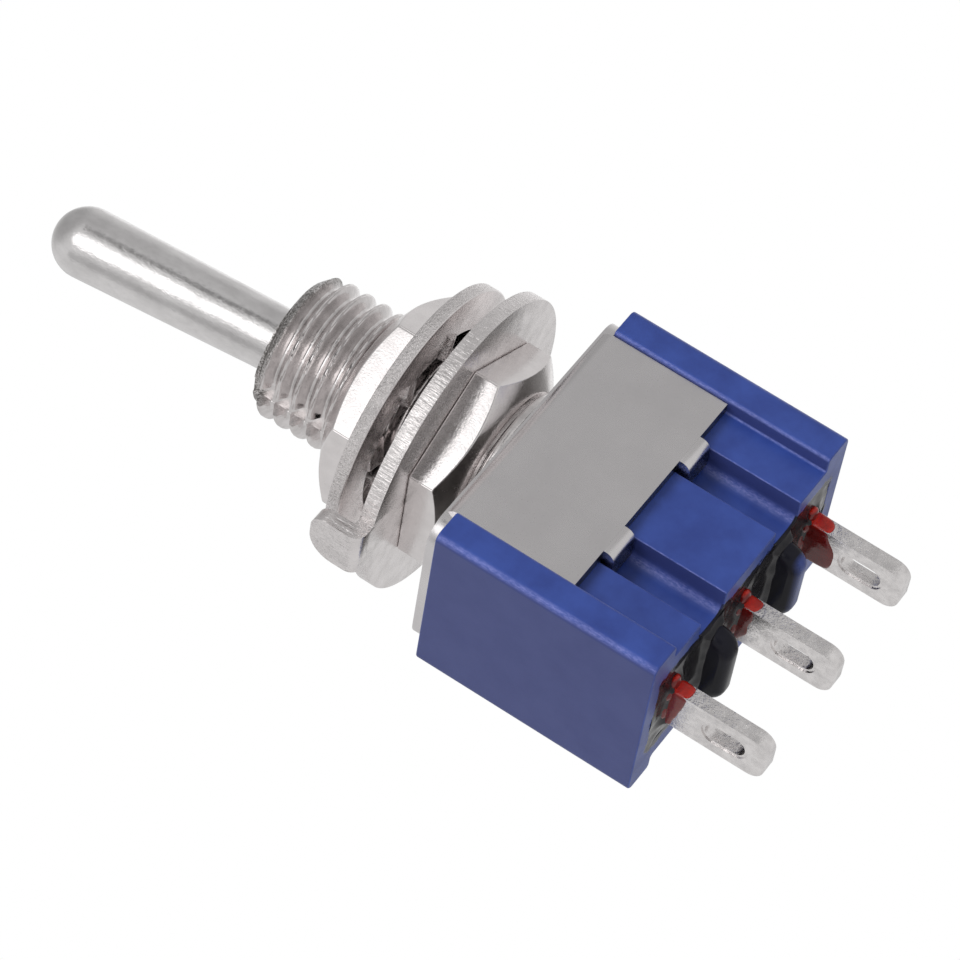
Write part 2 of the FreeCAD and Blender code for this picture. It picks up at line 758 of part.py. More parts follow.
def make_spring():
    """Compression spring between the tail's blind bore and the plunger, in short straight runs."""
    radius, rise = value("spring_diameter / 2"), value("plunger_top - plunger_bore_top - spring_wire")
    base = value("spring_wire / 2 - plunger_top")
    runs = int(value("spring_turns * spring_runs"))
    coil = DOC.addObject("Part::Polygon", "Coil")
    coil.Nodes = [
        FreeCAD.Vector(
            radius * math.cos(math.tau * run / value("spring_runs")),
            radius * math.sin(math.tau * run / value("spring_runs")),
            base + rise * run / runs,
        )
        for run in range(runs + 1)
    ]
    wire = DOC.addObject("Part::RegularPolygon", "Wire")
    bind(wire, "Circumradius", "spring_wire / 2")
    wire.Polygon = 6
    first_run = coil.Nodes[1] - coil.Nodes[0]
    wire.Placement = FreeCAD.Placement(
        coil.Nodes[0], FreeCAD.Rotation(FreeCAD.Vector(0, 0, 1), first_run))
    spring = DOC.addObject("Part::Sweep", "Spring")
    DOC.recompute()
    spring.Sections = [wire]
    spring.Spine = (coil, [f"Edge{number}" for number in range(1, runs + 1)])
    spring.Solid = True
    spring.Transition = "Right corner"
    swing_with_lever(piece(spring, "plunger_spring"))


def make_nut(label, base, chamfer_up):
    """Thin hexagon nut, chamfered on one side and flat on the other."""
    body = new_body(label)
    place(body, z=base)
    half, corner = "nut_width / 2", "nut_width / sqrt(3)"
    hexagon = sketch_on(body)
    polygon(hexagon, [
        (half, f"{corner} / 2"), ("0", corner), (f"0 - {half}", f"{corner} / 2"),
        (f"0 - {half}", f"0 - {corner} / 2"), ("0", f"0 - {corner}"), (half, f"0 - {corner} / 2"),
    ])
    circle(hexagon, "engaged_diameter / 2 + nut_bore_clearance")
    pad(body, hexagon, "nut_thickness")
    face, outside = "nut_face_diameter / 2", f"{corner} + nut_wall"
    depth = f"( {outside} - {face} ) * tan( nut_chamfer_angle )"
    ends = ("nut_thickness", f"nut_thickness - {depth}") if chamfer_up else ("0", depth)
    chamfer = sketch_on(body, "XZ_Plane")
    polygon(chamfer, [(face, ends[0]), (outside, ends[0]), (outside, ends[1])])
    turned(body, "Groove", chamfer)


def make_lock_washer():
    """Lock washer with twisted teeth round its bore."""
    blank = cylinder("washer_diameter / 2", "washer_thickness")
    opening = cylinder("washer_bore / 2", "washer_thickness")
    teeth = [make_tooth(number) for number in range(int(SIZES["tooth_count"]))]
    washer = piece(fused([cut(blank, [opening])] + teeth), "lock_washer")
    place(washer, z=WASHER_BASE)


def make_tooth(number):
    """One tooth, twisted about its own length and dropped under the washer's top."""
    tooth = DOC.addObject("Part::Box", "Tooth")
    inside = value("thread_diameter / 2 + tooth_clearance")
    twist = FreeCAD.Rotation(FreeCAD.Vector(1, 0, 0), value("tooth_twist"))
    turn = FreeCAD.Rotation(FreeCAD.Vector(0, 0, 1), 360 * (number + 0.5) / value("tooth_count"))
    bind(tooth, "Length", "washer_bore / 2 + tooth_root - thread_diameter / 2 - tooth_clearance")
    bind(tooth, "Width", "tooth_width")
    bind(tooth, "Height", "tooth_thickness")
    half_rise = value("tooth_width / 2 * sin( tooth_twist ) + tooth_thickness / 2 * cos( tooth_twist )")
    centre = FreeCAD.Vector(inside, 0, value("washer_thickness") - half_rise)
    corner = FreeCAD.Vector(0, value("0 - tooth_width / 2"), value("0 - tooth_thickness / 2"))
    tooth.Placement = FreeCAD.Placement(turn.multVec(centre + twist.multVec(corner)), turn * twist)
    return tooth


def make_locating_ring():
    """Locating ring: a key in the bushing's keyway and a tab bent up at the rim."""
    body = new_body("locating_ring")
    place(body, z=RING_BASE)
    disc = sketch_on(body)
    circle(disc, "ring_diameter / 2")
    circle(disc, "ring_bore / 2")
    pad(body, disc, "ring_thickness")
    key = sketch_on(body)
    rectangle(key, "0 - ring_bore / 2 - key_root", "0 - key_reach",
              "0 - key_width / 2", "key_width / 2")
    pad(body, key, "ring_thickness")
    foot = sketch_on(body)
    half = "ring_tab_width / 2"
    rectangle(foot, "0 - ring_tab_face", "ring_tab_root - ring_diameter / 2", f"0 - {half}", half)
    pad(body, foot, "ring_thickness")
    tab = sketch_on(body)
    rectangle(tab, "0 - ring_tab_face", "ring_thickness - ring_tab_face", f"0 - {half}", half)
    pad(body, tab, "ring_tab_height")

    def top_corner(start, end):
        high = near(start.z, end.z) and near(start.z, value("ring_tab_height"))
        return high and near(start.y, end.y)

    def outer_bend(start, end):
        low = near(start.z, 0) and near(end.z, 0)
        return low and near(start.x, end.x) and near(start.x, value("0 - ring_tab_face"))

    round_edges(body, "ring_tab_corner", top_corner)
    round_edges(body, "ring_tab_bend", outer_bend)


def check_model():
    """Stops at a failed feature, a cut that removes nothing, or a piece without a sound solid."""
    for thing in DOC.Objects:
        if "Invalid" in thing.State or "Error" in thing.State:
            raise RuntimeError(f"{thing.Name} of {thing.Label} failed: {thing.State}")
        if thing.TypeId in ("PartDesign::Pocket", "PartDesign::Groove"):
            if thing.Shape.Volume > thing.BaseFeature.Shape.Volume - 1e-6:
                raise RuntimeError(f"{thing.Name} cuts nothing")
    for thing in PIECES:
        if thing.Shape.isNull() or not thing.Shape.isValid() or len(thing.Shape.Solids) != 1:
            raise RuntimeError(f"{thing.Label} isn't one sound solid")


def main():
    """Builds every piece, checks it and writes it to its own file."""
    fill_sheet()
    make_case()
    make_base_seal()
    make_terminal("left_terminal", "0 - terminal_pitch", "shelf_top", shelf_side=1)
    make_terminal("centre_terminal", "0", "post_height")
    make_terminal("right_terminal", "terminal_pitch", "shelf_top", shelf_side=-1)
    make_fixed_contact("left_fixed_contact", "contact_offset - terminal_pitch")
    make_fixed_contact("right_fixed_contact", "terminal_pitch - contact_offset")
    for side, x in zip(("left", "centre", "right"), terminal_places()):
        make_varnish_bead(f"{side}_varnish_bead", x)
    make_rocker()
    make_frame()
    make_bushing()
    make_lever()
    make_plunger()
    make_spring()
    make_nut("lower_nut", LOWER_NUT_BASE, chamfer_up=False)
    make_locating_ring()
    make_lock_washer()
    make_nut("upper_nut", UPPER_NUT_BASE, chamfer_up=True)
    DOC.recompute()
    check_model()
    os.makedirs("parts", exist_ok=True)
    for thing in PIECES:
        thing.Shape.exportStep(os.path.join("parts", f"{thing.Label}.step"))
        print(f"{thing.Label}: {thing.Shape.Volume:.3f} mm3")


main()
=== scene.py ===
"""Visual model of a miniature panel toggle switch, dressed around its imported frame.

Meshes are made in millimetres in the part's own frame and scaled to metres once they are done.
"""

import logging
import math
from collections.abc import Iterable, Iterator, Sequence
from contextlib import contextmanager
from dataclasses import dataclass, field
from enum import Enum
from functools import cache

import bmesh
import bpy
from mathutils import Matrix, Vector, noise


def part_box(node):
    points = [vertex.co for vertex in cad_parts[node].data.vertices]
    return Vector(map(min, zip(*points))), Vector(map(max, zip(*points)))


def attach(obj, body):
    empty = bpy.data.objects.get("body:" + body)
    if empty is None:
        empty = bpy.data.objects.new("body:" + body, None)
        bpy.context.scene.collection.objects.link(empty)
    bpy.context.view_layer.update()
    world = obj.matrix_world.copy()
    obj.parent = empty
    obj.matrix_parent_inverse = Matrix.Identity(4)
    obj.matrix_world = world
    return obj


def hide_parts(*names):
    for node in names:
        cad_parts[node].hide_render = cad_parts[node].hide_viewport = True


LOG = logging.getLogger("toggle_switch")

Pair = tuple[float, float]
Triple = tuple[float, float, float]
Colour = tuple[float, float, float]
Thing = bpy.types.Object
Socket = bpy.types.NodeSocket

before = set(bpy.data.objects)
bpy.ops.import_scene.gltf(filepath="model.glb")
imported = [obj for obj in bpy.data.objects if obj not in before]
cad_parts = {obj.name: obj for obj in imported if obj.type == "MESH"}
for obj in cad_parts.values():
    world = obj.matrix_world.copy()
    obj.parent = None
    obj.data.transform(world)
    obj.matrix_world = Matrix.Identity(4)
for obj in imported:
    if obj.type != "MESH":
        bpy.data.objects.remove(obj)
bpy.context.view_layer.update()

MM = 0.001

# Places and sizes in millimetres that several pieces share
PIVOT = -1.3
CASE_FOOT = -18.0
TERMINAL_PITCH = 4.7
BARRIER_AT = 2.35
GROOVE_AT = 2.54
BLADE_HALF_WIDTH = 1.025
BLADE_HALF_THICKNESS = 0.325

# Overlap or gap that keeps two faces apart, how far cutters reach past a solid, and what counts as nought
HAIR = 0.01
CUT_ROOM = 1.0
TINY = 1e-6

# Distance at which points are one, and the most that a rounding takes of an outline's edge
WELD = 1e-5
MOST_REACH = 0.49


class Ride(Enum):
    """The bodies that the dressed pieces move with."""

    SWITCH = "switch_body"
    LEVER = "lever"


class Join(Enum):
    """How two solids are combined."""

    UNION = "UNION"
    DIFFERENCE = "DIFFERENCE"
    INTERSECT = "INTERSECT"


class Along(Enum):
    """The axis that an outline is extruded along, as the order of its coordinates."""

    X = (2, 0, 1)
    Y = (0, 2, 1)
    Z = (0, 1, 2)


class ChamferSide(Enum):
    """The side of a nut that carries its chamfer."""

    UP = 1
    DOWN = -1


# Outlines


def rectangle(low: Pair, high: Pair) -> list[Pair]:
    """Corners of a rectangle, in order from its lowest one."""
    return [low, (high[0], low[1]), high, (low[0], high[1])]


def centred(half: Pair) -> list[Pair]:
    """Corners of a rectangle about the origin, from its half sizes."""
    return rectangle((-half[0], -half[1]), half)


def line(start: Pair, end: Pair, steps: int) -> list[Pair]:
    """Evenly spaced points on a straight line, with both its ends."""
    right, up = end[0] - start[0], end[1] - start[1]
    return [(start[0] + right * step / steps, start[1] + up * step / steps) for step in range(steps + 1)]


def arc(centre: Pair, radius: float, start: float, end: float, steps: int) -> list[Pair]:
    """Evenly spaced points on an arc between two angles in radians."""
    turns = [start + (end - start) * step / steps for step in range(steps + 1)]
    return [(centre[0] + radius * math.cos(turn), centre[1] + radius * math.sin(turn)) for turn in turns]


def filleted(corners: Sequence[Pair], radii: float | Sequence[float], steps: int) -> list[Pair]:
    """Rounds the corners of a closed outline.

    Args:
        corners: Corners of the outline.
        radii: One radius for all corners, or one for each.
        steps: Number of short edges on each rounded corner.

    Returns:
        The outline with each corner replaced by steps + 1 points.
    """
    sizes = list(radii) if isinstance(radii, Sequence) else [radii] * len(corners)
    outline: list[Pair] = []
    for index, corner in enumerate(corners):
        here = Vector(corner)
        before = Vector(corners[index - 1]) - here
        after = Vector(corners[(index + 1) % len(corners)]) - here
        slope = math.tan(before.angle(after) / 2)
        reach = min(sizes[index] / slope, MOST_REACH * before.length, MOST_REACH * after.length)
        radius = reach * slope
        middle = (before.normalized() + after.normalized()).normalized()
        centre = here + middle * radius / math.sin(before.angle(after) / 2)
        first = here + before.normalized() * reach - centre
        last = here + after.normalized() * reach - centre
        sweep = first.angle_signed(last, 0.0) if radius > TINY else 0.0
        for step in range(steps + 1):
            spoke = Matrix.Rotation(-sweep * step / steps, 2) @ first
            outline.append(tuple(centre + spoke))
    return outline


def spun(section: Iterable[Pair], turn: float) -> list[Triple]:
    """A section of radius and height at an angle round the Z axis."""
    return [(radius * math.cos(turn), radius * math.sin(turn), height) for radius, height in section]


# Meshes


@cache
def low_mm(node: str) -> Vector:
    """Lowest corner of a CAD node, in millimetres."""
    return Vector(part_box(node)[0]) / MM


@cache
def high_mm(node: str) -> Vector:
    """Highest corner of a CAD node, in millimetres."""
    return Vector(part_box(node)[1]) / MM


def linked(name: str, data: bpy.types.ID) -> Thing:
    """Makes an object of its data and puts it in the scene.

    Args:
        name: Name of the object.
        data: Its mesh, light or camera.

    Returns:
        The object.
    """
    thing = bpy.data.objects.new(name, data)
    bpy.context.scene.collection.objects.link(thing)
    return thing


@contextmanager
def edited(mesh: bpy.types.Mesh) -> Iterator[bmesh.types.BMesh]:
    """Opens a mesh for editing and writes it back afterwards.

    Args:
        mesh: Mesh that is changed.

    Yields:
        The open mesh.
    """
    work = bmesh.new()
    work.from_mesh(mesh)
    yield work
    work.to_mesh(mesh)
    work.free()


def mesh_object(name: str, points: Iterable[Sequence[float]], faces: Iterable[Sequence[int]]) -> Thing:
    """Makes an object from points and faces, with its faces turned outwards.

    Args:
        name: Name of the object.
        points: Corner positions in millimetres.
        faces: Corner numbers of each face.

    Returns:
        The object.
    """
    mesh = bpy.data.meshes.new(name)
    mesh.from_pydata([tuple(point) for point in points], [], [tuple(face) for face in faces])
    with edited(mesh) as work:
        bmesh.ops.remove_doubles(work, verts=work.verts, dist=WELD)
        bmesh.ops.recalc_face_normals(work, faces=work.faces)
    return linked(name, mesh)


def grid(name: str, rows: Sequence[Sequence[Triple]], wrap_rows: bool, wrap_columns: bool) -> Thing:
    """Joins rows of points into a skin of four-sided faces.

    Args:
        name: Name of the object.
        rows: Rows with equally many points each.
        wrap_rows: Whether the last row joins the first.
        wrap_columns: Whether each row's last point joins its first.

    Returns:
        The object.
    """
    count, width = len(rows), len(rows[0])
    faces = []
    for row in range(count if wrap_rows else count - 1):
        follower = (row + 1) % count
        for column in range(width if wrap_columns else width - 1):
            beside = (column + 1) % width
            faces.append((row * width + column, row * width + beside,
                          follower * width + beside, follower * width + column))
    return mesh_object(name, [point for row in rows for point in row], faces)


def revolved(name: str, section: Sequence[Pair], steps: int, closed: bool) -> Thing:
    """Turns a section of radius and height about the Z axis, closed if it is a loop as on a ring."""
    rows = [spun(section, math.tau * step / steps) for step in range(steps)]
    return grid(name, rows, True, closed)


def prism(name: str, outline: Sequence[Pair], low: float, high: float, along: Along = Along.Z) -> Thing:
    """Extrudes a closed outline.

    Args:
        name: Name of the object.
        outline: Corners of the outline.
        low: Start of the extrusion.
        high: End of the extrusion.
        along: Axis of the extrusion.

    Returns:
        The object.
    """
    count = len(outline)
    spots = [(u, v, end) for end in (low, high) for u, v in outline]
    points = [tuple(spot[index] for index in along.value) for spot in spots]
    faces = [tuple(range(count)), tuple(range(2 * count - 1, count - 1, -1))]
    faces += [(i, (i + 1) % count, count + (i + 1) % count, count + i) for i in range(count)]
    return mesh_object(name, points, faces)


def box(name: str, low: Triple, high: Triple) -> Thing:
    """A plain block between two corners, for joining to other solids."""
    return prism(name, rectangle(low[:2], high[:2]), low[2], high[2])


def applied(thing: Thing) -> Thing:
    """Replaces an object's mesh by what its modifiers make of it.

    Args:
        thing: Object with modifiers.

    Returns:
        The same object without them.
    """
    view = bpy.context.evaluated_depsgraph_get()
    view.update()
    made = bpy.data.meshes.new_from_object(thing.evaluated_get(view))
    thing.modifiers.clear()
    old = thing.data
    thing.data = made
    bpy.data.meshes.remove(old)
    return thing


def modified(thing: Thing, kind: str, **settings: object) -> Thing:
    """Puts an object's mesh through a modifier.

    Args:
        thing: Object whose mesh is changed.
        kind: Type of the modifier.
        settings: Properties of the modifier.

    Returns:
        The object.
    """
    step = thing.modifiers.new("step", kind)
    for key, setting in settings.items():
        setattr(step, key, setting)
    return applied(thing)


def combined(base: Thing, tools: Iterable[Thing], join: Join) -> Thing:
    """Adds solids to a base solid, takes them out of it, or keeps what they share.

    Args:
        base: Solid that is kept and changed.
        tools: Solids that are used up.
        join: How they are combined.

    Returns:
        The base.
    """
    for tool in tools:
        modified(base, "BOOLEAN", operation=join.value, solver="EXACT", object=tool)
        bpy.data.objects.remove(tool)
    return base


def softened(thing: Thing, width: float, segments: int = 3, angle: float = 40.0) -> Thing:
    """Rounds a solid's edges above an angle in degrees, by a width in millimetres."""
    return modified(thing, "BEVEL", width=width, segments=segments, limit_method="ANGLE",
                    angle_limit=math.radians(angle), use_clamp_overlap=True, miter_outer="MITER_ARC")


def remeshed(thing: Thing, voxel: float, smoothing: int) -> Thing:
    """Melts overlapping solids into one skin of cells in millimetres, and smooths it."""
    melted = modified(thing, "REMESH", mode="VOXEL", voxel_size=voxel)
    return modified(melted, "SMOOTH", iterations=smoothing)


def joined(name: str, parts: Sequence[Thing]) -> Thing:
    """Puts several objects' meshes into one object.

    Args:
        name: Name of the new object.
        parts: Objects that are used up.

    Returns:
        The new object.
    """
    mesh = bpy.data.meshes.new(name)
    with edited(mesh) as work:
        for part in parts:
            work.from_mesh(part.data)
            bpy.data.objects.remove(part)
    return linked(name, mesh)


def published(thing: Thing, finish: "Finish", ride: Ride, replaces: Sequence[str],
              sharp: float = 32.0, place: Matrix | None = None) -> Thing:
    """Turns a finished mesh into a piece of the switch.

    Args:
        thing: Object with its mesh in millimetres.
        finish: Finish of its surface.
        ride: Body that it moves with.
        replaces: CAD nodes that it stands for.
        sharp: Angle in degrees above which an edge stays sharp in the shading.
        place: Move of the mesh into the part's frame, in millimetres.

    Returns:
        The piece.
    """
    if place is not None:
        thing.data.transform(place)
    thing.data.transform(Matrix.Scale(MM, 4))
    thing.data.shade_smooth()
    thing.data.set_sharp_from_angle(angle=math.radians(sharp))
    mesh = modified(thing, "WEIGHTED_NORMAL", keep_sharp=True).data
    mesh.materials.clear()
    mesh.materials.append(finish.material())
    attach(thing, ride.value)
    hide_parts(*replaces)
    LOG.info("%s: %d faces, rides on %s", thing.name, len(mesh.polygons), ride.value)
    return thing


# Finishes

# Places of the colours among a mixing node's sockets
COLOUR_A = 6
COLOUR_B = 7
COLOUR_RESULT = 2


class Graph:
    """A material's or a world's nodes, with short calls for adding them."""

    def __init__(self, owner: bpy.types.Material | bpy.types.World) -> None:
        """Starts with an empty node tree."""
        owner.use_nodes = True
        self.tree = owner.node_tree
        self.tree.nodes.clear()

    def add(self, kind: str, inputs: dict | None = None, **settings: object) -> bpy.types.Node:
        """Adds a node.

        Args:
            kind: Type of the node without its ShaderNode prefix.
            inputs: Fixed value or other node's output for each input, by its name or number.
            settings: Properties of the node.

        Returns:
            The new node.
        """
        node = self.tree.nodes.new(f"ShaderNode{kind}")
        for key, setting in settings.items():
            setattr(node, key, setting)
        for key, source in (inputs or {}).items():
            if isinstance(source, Socket):
                self.tree.links.new(source, node.inputs[key])
            else:
                node.inputs[key].default_value = source
        return node

    def millimetres(self, stretch: Triple = (1.0, 1.0, 1.0)) -> Socket:
        """Position on the piece in millimetres, stretched along each axis."""
        where = self.add("TexCoord").outputs["Object"]
        scale = [1 / MM / part for part in stretch]
        return self.add("Mapping", {"Vector": where, "Scale": scale}).outputs["Vector"]

    def part(self, vector: Socket, axis: str) -> Socket:
        """One coordinate of a vector."""
        return self.add("SeparateXYZ", {0: vector}).outputs[axis]

    def facing(self, axis: str) -> Socket:
        """How far the surface looks along an axis, either way, from nought to one."""
        return self.math("ABSOLUTE", self.part(self.add("NewGeometry").outputs["Normal"], axis), 0.0)

    def cloud(self, place: Socket, grain: float, detail: float = 4.0, rough: float = 0.6) -> Socket:
        """Soft noise with one grain about so many millimetres across."""
        inputs = {"Vector": place, "Scale": 1 / grain, "Detail": detail, "Roughness": rough}
        return self.add("TexNoise", inputs).outputs["Fac"]

    def ranged(self, source: Socket, start: Pair, end: Pair = (0.0, 1.0)) -> Socket:
        """Maps a value from one range to another, with both ends held."""
        ends = {"From Min": start[0], "From Max": start[1], "To Min": end[0], "To Max": end[1]}
        return self.add("MapRange", {"Value": source, **ends}).outputs["Result"]

    def math(self, operation: str, first: Socket, second: Socket | float) -> Socket:
        """Combines two values."""
        return self.add("Math", {0: first, 1: second}, operation=operation).outputs[0]

    def blended(self, factor: Socket, first: Socket | float, second: Socket | float) -> Socket:
        """Mixes two values by a factor."""
        return self.add("Mix", {"Factor": factor, "A": first, "B": second}).outputs["Result"]

    def mixed(self, factor: Socket, first: Socket | Colour, second: Socket | Colour) -> Socket:
        """Mixes two colours by a factor."""
        pair = [tone if isinstance(tone, Socket) else (*tone, 1.0) for tone in (first, second)]
        inputs = {"Factor": factor, COLOUR_A: pair[0], COLOUR_B: pair[1]}
        return self.add("Mix", inputs, data_type="RGBA").outputs[COLOUR_RESULT]

    def bumped(self, height: Socket, depth: float, under: Socket | None = None) -> Socket:
        """Relief of so many millimetres from a height between 0 and 1, on top of another relief."""
        below = {} if under is None else {"Normal": under}
        inputs = {"Height": height, "Strength": 1.0, "Distance": depth * MM, **below}
        return self.add("Bump", inputs).outputs["Normal"]


@dataclass(frozen=True)
class Clouds:
    """The broad and the fine noise that a finish varies by."""

    broad: Socket
    fine: Socket


@dataclass(frozen=True)
class Finish:
    """A surface finish whose colour, gloss and relief vary over the piece."""

    name: str
    slot: str
    colour: Colour
    shade: Colour
    metallic: float = 1.0
    gloss: Pair = (0.22, 0.34)
    grain: float = 0.5
    fine: float = 0.06
    relief: float = 0.004
    fine_relief: float = 0.0015
    stretch: Triple = (1.0, 1.0, 1.0)
    coat: float = 0.0
    specular: float = 0.5
    tone_range: Pair = (0.35, 0.70)
    gloss_range: Pair = (0.35, 0.65)

    def material(self) -> bpy.types.Material:
        """Makes the material once and hands the same one out again."""
        return bpy.data.materials.get(self.name) or self.make()

    def make(self) -> bpy.types.Material:
        """Builds the nodes of the material.

        Returns:
            The material.
        """
        material = bpy.data.materials.new(self.name)
        graph = Graph(material)
        place = graph.millimetres(self.stretch)
        clouds = Clouds(graph.cloud(place, self.grain), graph.cloud(place, self.fine, 2.0))
        shader = graph.add("BsdfPrincipled", {
            "Metallic": self.metallic,
            "Coat Weight": self.coat,
            "Base Color": self.tint(graph, clouds),
            "Roughness": self.gloss_value(graph, clouds),
            "Normal": self.relief_normal(graph, clouds),
            "Specular IOR Level": self.gleam(graph),
        })
        graph.add("OutputMaterial", {"Surface": shader.outputs["BSDF"]})
        return material

    def gleam(self, graph: Graph) -> Socket | float:
        """How strongly the surface mirrors."""
        return self.specular

    def tint(self, graph: Graph, clouds: Clouds) -> Socket:
        """Colour that drifts between the finish's two tones."""
        return graph.mixed(graph.ranged(clouds.broad, self.tone_range), self.colour, self.shade)

    def gloss_value(self, graph: Graph, clouds: Clouds) -> Socket:
        """Roughness between the finish's two limits."""
        middle = graph.math("MULTIPLY", graph.math("ADD", clouds.broad, clouds.fine), 0.5)
        return graph.ranged(middle, self.gloss_range, self.gloss)

    def relief_normal(self, graph: Graph, clouds: Clouds) -> Socket:
        """Broad waves with fine grain on them."""
        return graph.bumped(clouds.fine, self.fine_relief, graph.bumped(clouds.broad, self.relief))


@dataclass(frozen=True)
class ThreadFinish(Finish):
    """Plated thread that is matt and dark on its chamfered mouth."""

    dull_mouth_and_end_shade: Colour = (0.20, 0.19, 0.18)
    dull_range: Pair = (1.45, 1.65)
    spots: Pair = (0.42, 0.56)
    matt: float = 0.25

    def mouth(self, graph: Graph, clouds: Clouds) -> Socket:
        """One on rough spots of the mouth's chamfer, nought elsewhere."""
        near = graph.ranged(graph.part(graph.millimetres(), "Z"), self.dull_range)
        return graph.math("MULTIPLY", near, graph.ranged(clouds.fine, self.spots, (0.25, 1.0)))

    def tint(self, graph: Graph, clouds: Clouds) -> Socket:
        """Plated colour, matt and dark near the mouth."""
        return graph.mixed(self.mouth(graph, clouds), super().tint(graph, clouds), self.dull_mouth_and_end_shade)

    def gloss_value(self, graph: Graph, clouds: Clouds) -> Socket:
        """Plated gloss, matt near the mouth."""
        more = graph.math("MULTIPLY", self.mouth(graph, clouds), self.matt)
        return graph.math("ADD", super().gloss_value(graph, clouds), more)


@dataclass(frozen=True)
class RimFinish(Finish):
    """Stamped metal whose cut edges are torn or scored."""

    axis: str = "Z"
    facing: Pair = (0.6, 0.2)
    scores: float = 0.10
    upright: float = 1.0
    score_depth: float = 0.03

    def relief_normal(self, graph: Graph, clouds: Clouds) -> Socket:
        """Plain grain on the faces, and torn metal or upright scores on the cut edges.

        Args:
            graph: Nodes of the material.
            clouds: Its broad and fine noise.

        Returns:
            The relief's normal.
        """
        scores = graph.cloud(graph.millimetres((1.0, 1.0, self.upright)), self.scores, 3.0, 0.7)
        cut_edge = graph.ranged(graph.facing(self.axis), self.facing)
        torn = graph.math("MULTIPLY", scores, cut_edge)
        return graph.bumped(torn, self.score_depth, super().relief_normal(graph, clouds))


@dataclass(frozen=True)
class CaseFinish(Finish):
    """Moulded plastic with painted shade on its ends, painted highlights on its rounded upright edges and
    groove floors, and dark with potting below.
    """

    film: Colour = (0.014, 0.014, 0.020)
    film_specular: float = 0.10
    film_gloss: float = -0.25
    film_heights: Pair = (-17.93, -17.90)
    film_ends: Pair = (6.20, 2.80)
    film_ramp: float = 0.15
    ragged_grain: float = 0.6
    ragged_reach: float = 0.9
    bare_side: Pair = (1.9, 2.3)
    bare_heights: Pair = (-18.95, -18.75)
    bare_share: float = 0.8
    # Painted shade: darker, greyer blue for the case's ends that look along X
    dull_mouth_and_end_shade: Colour = (0.037, 0.048, 0.166)
    end_shade_share: float = 0.85
    # Painted highlight: pale blue streaks on rounded edges that look between X and Y
    painted_highlight: Colour = (0.22, 0.24, 0.56)
    painted_highlight_shares: Pair = (0.08, 0.62)

    def film_mask(self, graph: Graph) -> Socket:
        """Finds the film of potting on the plastic.

        Args:
            graph: Nodes of the material.

        Returns:
            One where the film is, less on the end of the right barrier, nought elsewhere.
        """
        place = graph.millimetres()
        ragged = graph.math("MULTIPLY", graph.cloud(place, self.ragged_grain), self.ragged_reach)
        mask = graph.ranged(graph.part(place, "Z"), self.film_heights, (1.0, 0.0))
        for axis, end in zip("XY", self.film_ends):
            away = graph.math("ADD", graph.math("ABSOLUTE", graph.part(place, axis), 0.0), ragged)
            covered = graph.ranged(away, (end, end + self.film_ramp), (1.0, 0.0))
            mask = graph.math("MULTIPLY", mask, covered)
        low = graph.ranged(graph.part(place, "Z"), self.bare_heights, (self.bare_share, 0.0))
        bare = graph.math("MULTIPLY", graph.ranged(graph.part(place, "X"), self.bare_side), low)
        return graph.math("MULTIPLY", mask, graph.ranged(bare, (0.0, 1.0), (1.0, 0.0)))

    def painted_highlight_mask(self, graph: Graph) -> Socket:
        """Finds the rounded upright edges and the grooves' rounded floors that get painted highlights.

        Args:
            graph: Nodes of the material.

        Returns:
            Up to one where the painted highlight lies, nought elsewhere.
        """
        both = graph.math("MINIMUM", graph.facing("X"), graph.facing("Y"))
        streaks = graph.cloud(graph.millimetres((0.6, 0.6, 1.8)), 0.11, 3.0, 0.7)
        highlight_patches = graph.ranged(streaks, (0.38, 0.70), self.painted_highlight_shares)
        return graph.math("MULTIPLY", graph.ranged(both, (0.30, 0.62)), highlight_patches)

    def gleam(self, graph: Graph) -> Socket | float:
        """Lets the film mirror less than the bare plastic."""
        return graph.ranged(self.film_mask(graph), (0.0, 1.0), (self.specular, self.film_specular))

    def tint(self, graph: Graph, clouds: Clouds) -> Socket:
        """Blue plastic with painted shade on its ends, painted highlights on its rounded edges, and dark
        film.

        Args:
            graph: Nodes of the material.
            clouds: Its broad and fine noise.

        Returns:
            The colour.
        """
        # Painted shade on the ends that look along X
        ends = graph.ranged(graph.facing("X"), (0.75, 0.98), (0.0, self.end_shade_share))
        blue = graph.mixed(ends, super().tint(graph, clouds), self.dull_mouth_and_end_shade)
        # Painted highlight streaks on the rounded upright edges and groove floors
        highlighted = graph.mixed(self.painted_highlight_mask(graph), blue, self.painted_highlight)
        return graph.mixed(self.film_mask(graph), highlighted, self.film)

    def gloss_value(self, graph: Graph, clouds: Clouds) -> Socket:
        """Soft sheen, glossy under the film."""
        glossy = graph.math("MULTIPLY", self.film_mask(graph), self.film_gloss)
        return graph.math("ADD", super().gloss_value(graph, clouds), glossy)


@dataclass(frozen=True)
class FrameFinish(Finish):
    """Plated sheet with painted shade on its level faces, which look along Z, so that they are darker than
    its flaps.
    """

    # Painted shade: dark grey for the faces that look along Z, standing in for the shade between the nut and
    # the plate.
    painted_shade: Colour = (0.20, 0.195, 0.19)

    def tint(self, graph: Graph, clouds: Clouds) -> Socket:
        """Bright plate, with painted shade on the faces that look along Z."""
        level = graph.ranged(graph.facing("Z"), (0.85, 0.97))
        return graph.mixed(level, super().tint(graph, clouds), self.painted_shade)


@dataclass(frozen=True)
class VarnishFinish(Finish):
    """Clear red varnish with painted light and shade: bright red on the terminals' edges, which look along Y,
    and dark red on their faces.
    """

    # Painted shade: dark red for the faces that do not look along Y
    shaded_red: Colour = (0.150, 0.010, 0.009)

    def tint(self, graph: Graph, clouds: Clouds) -> Socket:
        """Painted light and shade: bright red on faces that look along Y, dark red on the others."""
        # Painted light: faces that look along Y get the bright red
        thin = graph.ranged(graph.facing("Y"), (0.45, 0.85))
        return graph.mixed(thin, self.shaded_red, super().tint(graph, clouds))


